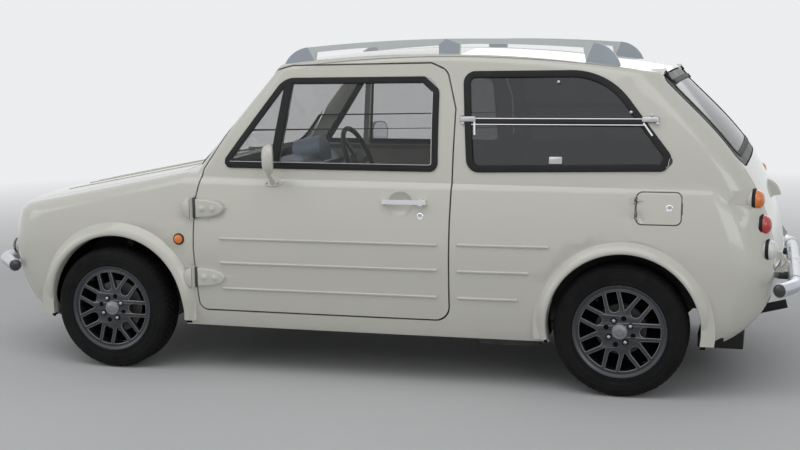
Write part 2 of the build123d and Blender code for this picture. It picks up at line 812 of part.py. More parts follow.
# Hatch: frame, glass and hinges
hatch_frame = without(
    outer & slope_prism(hatch_outline),
    cabin_body(hatch_thickness),
    slope_prism(hatch_window, pane_gap),
)
hatch_pin = tail_plane.from_local_coords(Vector(0, hatch_hinge_s, hatch_hinge_n))
hatch_hinge_x = hatch_pin.X
hatch_hinge_z = hatch_pin.Z
hinge_base = []
for y in (-hatch_hinge_y, hatch_hinge_y):
    leaf = tail_plane.location * Pos(y, hatch_hinge_s - 39.5, hatch_hinge_n - 6.5) * Box(22, 42, 13)
    neck = tail_plane.location * Pos(y, hatch_hinge_s - 13, hatch_hinge_n) * Box(22, 27, 10)
    hatch_frame = hatch_frame + leaf + neck + drum(hatch_hinge_x, hatch_hinge_z, hatch_eye, y - 11, y + 11)
    hatch_frame = hatch_frame - drum(hatch_hinge_x, hatch_hinge_z, hinge_pin_radius + pin_gap, y - 24, y + 24)
    base = drum(hatch_hinge_x, hatch_hinge_z, hinge_pin_radius, y - 22, y + 22)
    for near, far in ((y - 22, y - 12), (y + 12, y + 22)):
        base = base + drum(hatch_hinge_x, hatch_hinge_z, hatch_eye, near, far)
        base = base + box_between((hatch_hinge_x - 44, near, hatch_hinge_z - 30), (hatch_hinge_x, far, hatch_hinge_z + 5))
    plate = box_between((hatch_hinge_x - 52, y - 26, hatch_hinge_z - 30), (hatch_hinge_x - 14, y + 26, hatch_hinge_z + 10))
    base = base + (plate & cabin_body(-4))
    hinge_base.append((base - outer).solid())
save(hatch_frame, "hatch_frame")
save(glass_volume & slope_prism(hatch_window, glass_edge), "hatch_glass")
save(Compound(children=hinge_base), "hatch_hinges")


# Wheels
def tyre(face_y):
    """Left tyre profile turned about the axle, its outer side at y = -face_y."""
    inner_y = -face_y + tyre_width
    belly = (tyre_radius + bead_radius) / 2 + 6
    bead_in = 12
    profile = (
        # in from the wall's face, radius
        ((tyre_width - tread_width) / 2, tyre_radius),
        (3, belly + 24),
        (0, belly),
        (4, belly - 24),
        (bead_in, rim_radius),
        (bead_in, bead_radius),
    )
    outer_half = [(-face_y + step, radius) for step, radius in profile]
    inner_half = [(inner_y - step, radius) for step, radius in reversed(profile)]
    with BuildPart() as solid:
        with BuildSketch(Plane.YZ):
            with BuildLine():
                Polyline(*outer_half, *inner_half, close=True)
            make_face()
        revolve(axis=Axis.Y)
    return solid.part


def rim(face_y):
    """Left rim: barrel, spoked disc with paired spokes, hub face and bolt holes."""
    lip = -face_y + 12
    back = lip + rim_width
    disc_face = -face_y + rim_face_inset
    disc_back = disc_face + spoke_depth
    with BuildPart() as solid:
        with BuildSketch(Plane.YZ):
            with BuildLine():
                Polyline(
                    (lip - 6, rim_radius - 1),
                    (lip, rim_radius - 1),
                    (lip, bead_radius),
                    (back, bead_radius),
                    (back, bead_radius - rim_wall),
                    (lip + 8, bead_radius - rim_wall),
                    (lip - 6, rim_radius - 12),
                    close=True,
                )
            make_face()
        revolve(axis=Axis.Y)
        with BuildSketch(Plane.YZ):
            with BuildLine():
                Polyline(
                    (disc_face + 6, bead_radius - 2),
                    (disc_back, bead_radius - 2),
                    (disc_back + 10, hub_disc_radius),
                    (disc_back + 10, 0),
                    (disc_face - 4, 0),
                    (disc_face - 4, cap_radius),
                    (disc_face + 2, cap_radius),
                    (disc_face + 2, hub_disc_radius - 8),
                    (disc_face, hub_disc_radius),
                    close=True,
                )
            make_face()
        revolve(axis=Axis.Y)
        slot_end = bead_radius - rim_wall - 6
        pair_step = 360 / spoke_pairs
        slot_width = 2 * spoke_offset - spoke_width
        slot_start = hub_disc_radius + 3
        outer_line = spoke_offset + spoke_width / 2
        apex = outer_line / sin(radians(pair_step / 2))
        with BuildSketch(Plane.XZ.offset(face_y + 30)):
            with PolarLocations(0, spoke_pairs):
                with Locations((slot_start + slot_width / 2, 0)):
                    Circle(slot_width / 2)
                with Locations(((slot_start + slot_width / 2 + slot_end) / 2, 0)):
                    Rectangle(slot_end - slot_start - slot_width / 2, slot_width)
            with PolarLocations(0, spoke_pairs, start_angle=pair_step / 2):
                with BuildLine():
                    half_turn = radians(pair_step / 2)
                    far = slot_end / cos(half_turn) * 0.985
                    Polyline(
                        (apex + 6, 0),
                        (apex + (far - apex), (far - apex) * tan(half_turn)),
                        (apex + (far - apex), -(far - apex) * tan(half_turn)),
                        close=True,
                    )
                make_face()
        extrude(amount=-(spoke_depth + 120), mode=Mode.SUBTRACT)
        with BuildSketch(Plane.XZ.offset(face_y + 30)):
            with PolarLocations(wheel_bolt_circle / 2, wheel_bolt_count, start_angle=28.5):
                Circle(wheel_bolt_hole_r)
        extrude(amount=-200, mode=Mode.SUBTRACT)
    return solid.part


wheel_places = (
    # name, x, outer face from the centre line
    ("front", front_axle_x, tyre_face_front),
    ("rear", rear_axle_x, tyre_face_rear),
)
for place, x, face_y in wheel_places:
    left_tyre = Pos(x, 0, tyre_radius) * tyre(face_y)
    left_rim = Pos(x, 0, tyre_radius) * rim(face_y)
    save(left_tyre, f"tyre_{place}_left")
    save(mirrored(left_tyre), f"tyre_{place}_right")
    save(left_rim, f"rim_{place}_left")
    save(mirrored(left_rim), f"rim_{place}_right")

# Front knuckles: hub, disc, upright and steering arm
kingpin_y = 625
hub_seat_front = tyre_face_front - rim_face_inset - spoke_depth - 10 - seat_gap
hub_seat_rear = tyre_face_rear - rim_face_inset - spoke_depth - 10 - seat_gap
axle_z = tyre_radius
disc_radius = 118
disc_in = 24                # of the disc's face from the hub's
disc_thickness = 12
knuckle_foot = 175
knuckle_head = 420
disc_face = -hub_seat_front + disc_in
knuckle = drum(front_axle_x, axle_z, 62, -hub_seat_front, -hub_seat_front + 14)
knuckle = knuckle + drum(front_axle_x, axle_z, 34, -hub_seat_front + 14, -600)
knuckle = knuckle + drum(front_axle_x, axle_z, disc_radius, disc_face, disc_face + disc_thickness)
knuckle = knuckle + Pos(front_axle_x, -kingpin_y + 8, (knuckle_foot + knuckle_head) / 2) * Box(44, 34, knuckle_head - knuckle_foot)
knuckle = knuckle + box_between((front_axle_x - 22, -602, knuckle_head - 40), (front_axle_x + 22, -515, knuckle_head))
knuckle = knuckle + Pos(front_axle_x + 60, -kingpin_y + 22, 250) * Box(120, 22, 26)
save(knuckle, "knuckle_left")
save(mirrored(knuckle), "knuckle_right")

# Front suspension: struts, springs, lower arms, anti-roll bar and crossmember
strut_y = 540
strut_base = knuckle_head + seat_gap
spring_low = 592
tower_near = apron_y + apron_thickness + seat_gap
tower_far = 690
with BuildPart() as strut:
    with BuildSketch(Plane.XY.offset(strut_base)):
        with Locations((front_axle_x, -strut_y)):
            Circle(24)
    extrude(amount=spring_low - strut_base)
    with BuildSketch(Plane.XY.offset(spring_low)):
        with Locations((front_axle_x, -strut_y)):
            Circle(62)
    extrude(amount=8)
    with BuildSketch(Plane.XY.offset(spring_low + 8)):
        with Locations((front_axle_x, -strut_y)):
            Circle(48)
    extrude(amount=150)
    with BuildSketch(Plane.XY.offset(spring_low + 158)):
        with Locations((front_axle_x, -(tower_near + tower_far) / 2)):
            Rectangle(150, tower_far - tower_near)
    extrude(amount=8)
arm_top = knuckle_foot - seat_gap
with BuildPart() as lower_arm:
    with BuildSketch(Plane.XY.offset(arm_top - 24)):
        with BuildLine():
            Polyline(
                (front_axle_x - 22, -kingpin_y - 12),
                (front_axle_x + 22, -kingpin_y - 12),
                (front_axle_x + 110, -320),
                (front_axle_x - 60, -320),
                close=True,
            )
        make_face()
    extrude(amount=24)
crossmember = box_between((front_axle_x - 60, -330, 160), (front_axle_x + 120, 330, 225))
suspension = crossmember + lower_arm.part + mirrored(lower_arm.part)
suspension_node = Compound(children=[suspension.solid(), strut.part.solid(), mirrored(strut.part).solid()])
save(suspension_node, "front_suspension")

# Rear axle: tube, drums, trailing arms, springs and dampers
with BuildPart() as axle_half:
    with BuildSketch(Plane.XZ.offset(hub_seat_rear)):
        with Locations((rear_axle_x, axle_z)):
            Circle(60)
    extrude(amount=-10)
    with BuildSketch(Plane.XZ.offset(hub_seat_rear - 10)):
        with Locations((rear_axle_x, axle_z)):
            Circle(105)
    extrude(amount=-62)
    with BuildSketch(Plane.XZ.offset(hub_seat_rear - 72)):
        with Locations((rear_axle_x, axle_z)):
            Circle(28)
    extrude(amount=-(hub_seat_rear - 72))
    with BuildSketch(Plane.XY.offset(axle_z)):
        with Locations((rear_axle_x, -420)):
            Circle(45)
    extrude(amount=rear_floor_z - floor_sheet - seat_gap - axle_z)
rear_half = axle_half.part + box_between((rear_floor_x + seat_gap, -500, 215), (rear_axle_x, -460, 250))
rear_half = rear_half + box_between((rear_axle_x - 60, -500, 205), (rear_axle_x + 20, -460, 290))
save(rear_half + mirrored(rear_half), "rear_axle")

# Bumpers: a tube with fatter elbows, a middle sleeve and two brackets
bumper_tube = 29
elbow_tube = 44
sleeve_tube = 33
elbow_y = 575


def bumper(face_x, height, end_x, end_y, bracket_x):
    """A bumper whose outermost line is at face_x; the elbows end at end_x, end_y."""
    way = 1 if face_x > 0 else -1
    tube_x = face_x - way * elbow_tube
    main = drum(tube_x, height, bumper_tube, -elbow_y + 60, elbow_y - 60)
    sleeve = drum(tube_x, height, sleeve_tube, -70, 70)
    elbow = tube(
        ((tube_x, -elbow_y + 72, height), (tube_x, -elbow_y - 20, height), (end_x, -end_y, height)),
        elbow_tube,
        60,
    )
    low_x = min(bracket_x, tube_x)
    high_x = max(bracket_x, tube_x)
    bracket = box_between((low_x, -420, height - 16), (high_x, -390, height + 16)) - outer
    return main + sleeve + elbow + mirrored(elbow) + bracket + mirrored(bracket)


save(bumper(nose_end, 453, -1716, 716, -1762), "front_bumper")
save(bumper(tail_end, 466, 1742, 722, 1770), "rear_bumper")

# Roof rails
rail_y = 520
rail_width = 26
rail_section = 22
rail_low = 1330
with BuildPart() as rail_block:
    with BuildSketch(Plane.XZ.offset(rail_y - rail_width / 2)):
        with BuildLine():
            ThreePointArc((-362, 1372), (-318, 1422), (-240, 1446))
            ThreePointArc((-240, 1446), (391, overall_height), (995, 1452))
            ThreePointArc((995, 1452), (1075, 1424), (1120, 1352))
            Line((1120, 1352), (1120, rail_low))
            Line((1120, rail_low), (-362, rail_low))
            Line((-362, rail_low), (-362, 1372))
        make_face()
    extrude(amount=rail_width)
with BuildPart() as rail_gaps:
    with BuildSketch(Plane.XZ.offset(rail_y - rail_width / 2 - 10)):
        with BuildLine():
            Line((-235, rail_low), (-215, 1424))
            ThreePointArc((-215, 1424), (60, 1443), (345, 1451))
            Line((345, 1451), (345, rail_low))
            Line((345, rail_low), (-235, rail_low))
        make_face()
        with BuildLine():
            Line((985, rail_low), (965, 1431))
            ThreePointArc((965, 1431), (700, 1447), (437, 1452))
            Line((437, 1452), (437, rail_low))
            Line((437, rail_low), (985, rail_low))
        make_face()
    extrude(amount=rail_width + 20)
rail = (rail_block.part - rail_gaps.part) - outer
save(pair(rail), "roof_rails")

# Lamps
front_lamp_solids = [repeater.solid(), mirrored(repeater).solid()]
for y in (-headlamp_y, headlamp_y):
    dome = Pos(-1690, y, headlamp_z) * Rot(0, -90, 0) * Cylinder(headlamp_radius - 2, 60)
    lens = Pos(-1718, y, headlamp_z) * Rot(0, -90, 0) * Cone(headlamp_radius - 2, headlamp_radius - 40, 22)
    front_lamp_solids.append((dome + lens).solid())
for y in (-548, 548):
    pod = Pos(-1738, y, 510) * Rot(0, -90, 0) * Cylinder(36, 60)
    front_lamp_solids.append((pod - outer).solid())
save(Compound(children=front_lamp_solids), "front_lamps")

tail_lamp_solids = []
lens_rise = 16
for height, apex, y, radius in tail_lamp_rows:
    dome = (radius**2 + lens_rise**2) / (2 * lens_rise)
    half_turn = 0.5 * atan2(radius, dome - lens_rise)
    middle_x = apex - dome * (1 - cos(half_turn))
    middle_r = dome * sin(half_turn)
    for way in (-1, 1):
        with BuildPart() as lamp:
            with BuildSketch(Plane.XZ):
                with BuildLine():
                    Line((apex - lamp_depth, 0), (apex - lamp_depth, radius))
                    Line((apex - lamp_depth, radius), (apex - lens_rise, radius))
                    ThreePointArc((apex - lens_rise, radius), (middle_x, middle_r), (apex, 0))
                    Line((apex, 0), (apex - lamp_depth, 0))
                make_face()
            revolve(axis=Axis.X)
        tail_lamp_solids.append((Pos(0, way * y, height) * lamp.part).solid())
save(Compound(children=tail_lamp_solids), "tail_lamps")

# Grille: a frame with slats inside the nose's opening
slats = [
    Pos(-1742, 0, z) * Box(16, 2 * 340, 10) for z in (612, 641, 670)
]
posts = [Pos(-1738, y, 641) * Box(14, 12, 84) for y in (-300, -100, 100, 300)]
grille = slats[0]
for piece in slats[1:] + posts:
    grille = grille + piece
grille = grille & rear_prism(grille_outline, -1900, -1600, -seat_gap)
save(grille, "grille")

# Engine, tank and exhaust
save(box_between((-1480, -340, 300), (-940, 340, 740)), "engine")
save(box_between((500, -460, 130), (770, 0, 214.7)), "fuel_tank")
pipe_z = 175
pipe = tube(((-930, 60, 240), (-800, 60, pipe_z), (380, 60, pipe_z), (640, 340, pipe_z), (1300, 380, pipe_z), (1480, 380, 185)), 22, 50)
silencer = Pos(1540, 0, 178) * Box(190, 800, 60)
tail_pipe = tube(((1620, 30, 190), (1700, 30, 240), (1815, 30, 270)), 20, 60)
save(pipe + silencer + tail_pipe, "exhaust")

# Dashboard, instrument pod and steering column
wheel_centre = Vector(-300, 350, 862)
wheel_tilt = 68
hub_depth = 30
wheel_axis = Vector(sin(radians(wheel_tilt)), 0, cos(radians(wheel_tilt)))
column_top = wheel_centre - wheel_axis * (hub_depth + seat_gap)
dash_top = 905
with BuildPart() as dash_half:
    with BuildSketch(Plane.XZ.offset(-600)):
        with BuildLine():
            Polyline(
                (-700, 700),
                (-700, 850),
                (-640, dash_top - 5),
                (-520, dash_top - 10),
                (-470, 860),
                (-478, 790),
                (-540, 690),
                close=True,
            )
        make_face()
    extrude(amount=1200)
pod = Pos(-560, 350, 900) * Rot(0, 78, 0) * Cylinder(82, 150)
column = rod(tuple(column_top), tuple(column_top - wheel_axis * 200), 30)
save(dash_half.part + pod + column, "dashboard")

# Steering wheel
wheel_ring = 178
with BuildPart() as steering:
    with BuildSketch(Plane.XZ):
        with Locations((wheel_ring, 0)):
            RegularPolygon(13, 8)
    revolve(axis=Axis.Z)
    with BuildSketch(Plane.XY.offset(-30)):
        Circle(48)
    extrude(amount=34)
    with BuildSketch(Plane.XY.offset(-14)):
        with PolarLocations(0, 3, start_angle=90):
            with Locations((105, 0)):
                Rectangle(140, 26)
    extrude(amount=12)
steering_wheel = Pos(*tuple(wheel_centre)) * Rot(0, wheel_tilt, 0) * steering.part
save(steering_wheel, "steering_wheel")

# Seats: plain closed forms
def cushion(x, y, z, length, width, height, turn):
    corner = 0.4 * min(length, height)
    with BuildPart() as pad:
        with BuildSketch(Plane.XZ.offset(-width / 2)):
            RectangleRounded(length, height, corner)
        extrude(amount=width)
        chamfer(pad.faces().sort_by(Axis.Y)[0].edges(), length=0.5 * corner)
        chamfer(pad.faces().sort_by(Axis.Y)[-1].edges(), length=0.5 * corner)
    return Pos(x, y, z) * Rot(0, turn, 0) * pad.part


cushions = [cushion(-10, y, 386, 500, 500, 130, -6).solid() for y in (-seat_y, seat_y)]
backs = [cushion(391, y, 652, 120, 480, 720, 16).solid() for y in (-seat_y, seat_y)]
cushions.append(cushion(860, 0, 490.8, 450, 1080, 150, -5).solid())
backs.append(cushion(1224, 0, 635, 120, 1060, 480, 18).solid())
save(Compound(children=cushions), "seat_cushions")
save(Compound(children=backs), "seat_backs")

# Door mirrors, each turned towards the driver's eye
mirror_place = (-345, -812, 976)
mirror_width = 150
mirror_height = 130
mirror_depth = 46
mirror_turn = 20
with BuildPart() as mirror_head:
    with BuildSketch(Plane.YZ.offset(-mirror_depth / 2)):
        RectangleRounded(mirror_width, mirror_height, 50)
    extrude(amount=mirror_depth)
    chamfer(mirror_head.faces().sort_by(Axis.X)[0].edges(), length=20)
mirror_foot_x = -360
mirror_foot_z = 866
mirror_foot_y = skin_at(mirror_foot_x, mirror_foot_z)
foot = plan_prism(
    (
        (mirror_foot_x - 38, -mirror_foot_y - 34, 16),
        (mirror_foot_x + 38, -mirror_foot_y - 34, 16),
        (mirror_foot_x + 38, -mirror_foot_y + 30, 16),
        (mirror_foot_x - 38, -mirror_foot_y + 30, 16),
    ),
    mirror_foot_z - 18,
    mirror_foot_z + 8,
)
stalk_foot = (mirror_foot_x + 4, -mirror_foot_y - 16, mirror_foot_z)
stalk = rod(stalk_foot, (mirror_place[0], mirror_place[1] + 30, mirror_place[2] - 40), 10)
mirror = Pos(*mirror_place) * Rot(0, 0, mirror_turn) * mirror_head.part + stalk + foot - outer
save(mirror, "mirror_left")
save(mirrored(mirror), "mirror_right")
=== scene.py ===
import json
import math
import bmesh
import bpy
from mathutils import Matrix, Vector
from mathutils.bvhtree import BVHTree


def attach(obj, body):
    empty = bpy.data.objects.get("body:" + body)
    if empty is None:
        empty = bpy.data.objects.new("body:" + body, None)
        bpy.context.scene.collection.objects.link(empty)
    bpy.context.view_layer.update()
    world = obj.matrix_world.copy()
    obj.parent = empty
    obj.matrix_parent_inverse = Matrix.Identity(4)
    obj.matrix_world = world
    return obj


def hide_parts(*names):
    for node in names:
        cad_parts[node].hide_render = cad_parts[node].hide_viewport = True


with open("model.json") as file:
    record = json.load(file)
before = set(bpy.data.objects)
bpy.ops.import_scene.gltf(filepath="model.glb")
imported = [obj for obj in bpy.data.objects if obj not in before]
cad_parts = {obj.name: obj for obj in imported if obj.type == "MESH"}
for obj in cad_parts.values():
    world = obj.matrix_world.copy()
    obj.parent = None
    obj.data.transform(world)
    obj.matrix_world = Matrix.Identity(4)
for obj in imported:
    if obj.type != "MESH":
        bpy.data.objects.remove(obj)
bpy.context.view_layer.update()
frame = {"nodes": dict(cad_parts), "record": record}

cadNodes = frame["nodes"]
bodyOf = {node: body for body, rows in frame["record"]["behaviour"]["bodies"].items() for node in rows}
collection = bpy.context.scene.collection

# Studio and camera

cameraView = {
    "place": (1.7214, -5.9949, 1.4625),
    "yaw": 15.944,      # turned towards the nose
    "pitch": -8.005,
    "roll": -0.758,
    "lens": 58.46,
}
studio = {
    "floorColour": (0.60, 0.60, 0.60),
    "backdropColour": (0.84, 0.85, 0.86),
    "floorFade": (3.2, 9.0),        # metres from the middle where the floor turns into the backdrop
    "skyColour": (0.93, 0.96, 1.0),
    "skyLight": 0.40,
    "lamps": (
        # place, aimed at, size, watts
        ((-0.5, -3.2, 5.2), (0.0, 0.0, 0.4), (7.5, 4.0), 100),
        ((5.5, -6.5, 3.4), (0.6, 0.0, 0.7), (4.5, 3.0), 62),
        ((-6.0, -4.0, 2.6), (-0.8, 0.0, 0.6), (3.5, 2.4), 30),
        ((1.5, 6.5, 3.6), (0.0, 0.0, 0.8), (6.0, 3.0), 50),
    ),
}


def placeCamera(view):
    yaw, pitch, roll = (math.radians(view[key]) for key in ("yaw", "pitch", "roll"))
    forward = Vector((-math.sin(yaw) * math.cos(pitch), math.cos(yaw) * math.cos(pitch), math.sin(pitch)))
    level = Vector((math.cos(yaw), math.sin(yaw), 0))
    upright = level.cross(forward)
    right = level * math.cos(roll) + upright * math.sin(roll)
    up = upright * math.cos(roll) - level * math.sin(roll)
    data = bpy.data.cameras.new("camera")
    data.lens = view["lens"]
    data.sensor_width = 36
    data.clip_end = 200
    camera = bpy.data.objects.new("camera", data)
    turn = Matrix((right, up, -forward)).transposed().to_4x4()
    camera.matrix_world = Matrix.Translation(view["place"]) @ turn
    collection.objects.link(camera)
    bpy.context.scene.camera = camera


def combined(tree, operation, first, second):
    # two sockets through one Math node
    node = tree.nodes.new("ShaderNodeMath")
    node.operation = operation
    tree.links.new(first, node.inputs[0])
    tree.links.new(second, node.inputs[1])
    return node.outputs[0]


def seenRays(tree):
    # 1 for what the camera sees, straight or through gloss and glass, 0 for light on the object
    rays = tree.nodes.new("ShaderNodeLightPath")
    seen = rays.outputs["Is Camera Ray"]
    for label in ("Is Glossy Ray", "Is Transmission Ray"):
        seen = combined(tree, "MAXIMUM", seen, rays.outputs[label])
    return seen


def showMixed(tree, factor, first, second, output):
    mix = tree.nodes.new("ShaderNodeMixShader")
    for number, socket in enumerate((factor, first, second)):
        tree.links.new(socket, mix.inputs[number])
    tree.links.new(mix.outputs[0], output.inputs["Surface"])


def lightStudio(settings):
    scene = bpy.context.scene
    scene.view_settings.view_transform = "Standard"
    world = bpy.data.worlds.new("studio")
    scene.world = world
    world.use_nodes = True
    tree = world.node_tree
    tree.nodes.clear()
    sky = tree.nodes.new("ShaderNodeBackground")
    sky.inputs["Color"].default_value = (*settings["skyColour"], 1)
    sky.inputs["Strength"].default_value = settings["skyLight"]
    backdrop = tree.nodes.new("ShaderNodeBackground")
    backdrop.inputs["Color"].default_value = (*settings["backdropColour"], 1)
    output = tree.nodes.new("ShaderNodeOutputWorld")
    showMixed(tree, seenRays(tree), sky.outputs[0], backdrop.outputs[0], output)
    for number, (place, target, size, watts) in enumerate(settings["lamps"]):
        data = bpy.data.lights.new(f"softbox{number}", "AREA")
        data.shape = "RECTANGLE"
        data.size, data.size_y = size
        data.energy = watts
        lamp = bpy.data.objects.new(f"softbox{number}", data)
        aim = (Vector(target) - Vector(place)).to_track_quat("-Z", "Y")
        lamp.matrix_world = Matrix.Translation(place) @ aim.to_matrix().to_4x4()
        collection.objects.link(lamp)


placeCamera(cameraView)
lightStudio(studio)
print("studio ready")

# Finishes


def mixedColour(tree, factor, first, second):
    # each of the two is a plain colour or a socket
    mix = tree.nodes.new("ShaderNodeMix")
    mix.data_type = "RGBA"
    tree.links.new(factor, mix.inputs["Factor"])
    for label, colour in (("A", first), ("B", second)):
        if isinstance(colour, tuple):
            mix.inputs[label].default_value = (*colour, 1)
        else:
            tree.links.new(colour, mix.inputs[label])
    return mix.outputs["Result"]


def ranged(tree, value, low, high, outLow, outHigh):
    spread = tree.nodes.new("ShaderNodeMapRange")
    tree.links.new(value, spread.inputs["Value"])
    spread.inputs["From Min"].default_value = low
    spread.inputs["From Max"].default_value = high
    spread.inputs["To Min"].default_value = outLow
    spread.inputs["To Max"].default_value = outHigh
    return spread.outputs["Result"]


def noiseOf(tree, coords, scale, detail=3.0):
    noise = tree.nodes.new("ShaderNodeTexNoise")
    noise.inputs["Scale"].default_value = scale
    noise.inputs["Detail"].default_value = detail
    tree.links.new(coords, noise.inputs["Vector"])
    return noise.outputs["Fac"]


noiseSpan = (0.3, 0.7)      # most of a noise's values lie between these
lowPatches = {"scale": 9.0, "detail": 6.0, "span": (0.35, 0.7), "share": (0.3, 1.0)}


def finish(name, colour, roughness, metallic=0.0, tint=0.06, cloud=3.0, rough=0.06, smear=14.0, bump=0.0,
           grain=900.0, coat=0.0, alpha=1.0, specular=0.5, lowTone=None, waves=None):
    # tint and rough are the spread of colour and roughness; cloud, smear and grain are how fine each noise is
    material = bpy.data.materials.new(name)
    material.use_nodes = True
    tree = material.node_tree
    shader = tree.nodes["Principled BSDF"]
    coords = tree.nodes.new("ShaderNodeTexCoord").outputs["Object"]
    darker = tuple(c * (1 - tint) for c in colour)
    lighter = tuple(min(c * (1 + tint), 1.0) for c in colour)
    clouds = ranged(tree, noiseOf(tree, coords, cloud), *noiseSpan, 0, 1)
    shade = mixedColour(tree, clouds, darker, lighter)
    # a second colour mixed in, in patches, towards the bottom
    if lowTone:
        level, reach, lowColour, amount = lowTone
        split = tree.nodes.new("ShaderNodeSeparateXYZ")
        tree.links.new(coords, split.inputs[0])
        low = ranged(tree, split.outputs["Z"], level, level + reach, amount, 0.0)
        spots = noiseOf(tree, coords, lowPatches["scale"], lowPatches["detail"])
        patches = ranged(tree, spots, *lowPatches["span"], *lowPatches["share"])
        shade = mixedColour(tree, combined(tree, "MULTIPLY", low, patches), shade, lowColour)
    tree.links.new(shade, shader.inputs["Base Color"])
    smears = noiseOf(tree, coords, smear, 5.0)
    gloss = ranged(tree, smears, *noiseSpan, max(roughness - rough, 0.0), roughness + rough)
    tree.links.new(gloss, shader.inputs["Roughness"])
    for label, value in {"Metallic": metallic, "Coat Weight": coat, "Coat Roughness": 0.04, "Alpha": alpha,
                         "IOR": 1.5, "Specular IOR Level": specular}.items():
        shader.inputs[label].default_value = value
    height = None
    if waves:
        direction, scale, depth = waves
        wave = tree.nodes.new("ShaderNodeTexWave")
        wave.bands_direction = direction
        wave.inputs["Scale"].default_value = scale
        tree.links.new(coords, wave.inputs["Vector"])
        height, bump = wave.outputs["Fac"], depth
    elif bump:
        height = noiseOf(tree, coords, grain, 2.0)
    if height:
        relief = tree.nodes.new("ShaderNodeBump")
        relief.inputs["Strength"].default_value = 0.6
        relief.inputs["Distance"].default_value = bump
        tree.links.new(height, relief.inputs["Height"])
        tree.links.new(relief.outputs["Normal"], shader.inputs["Normal"])
    return material


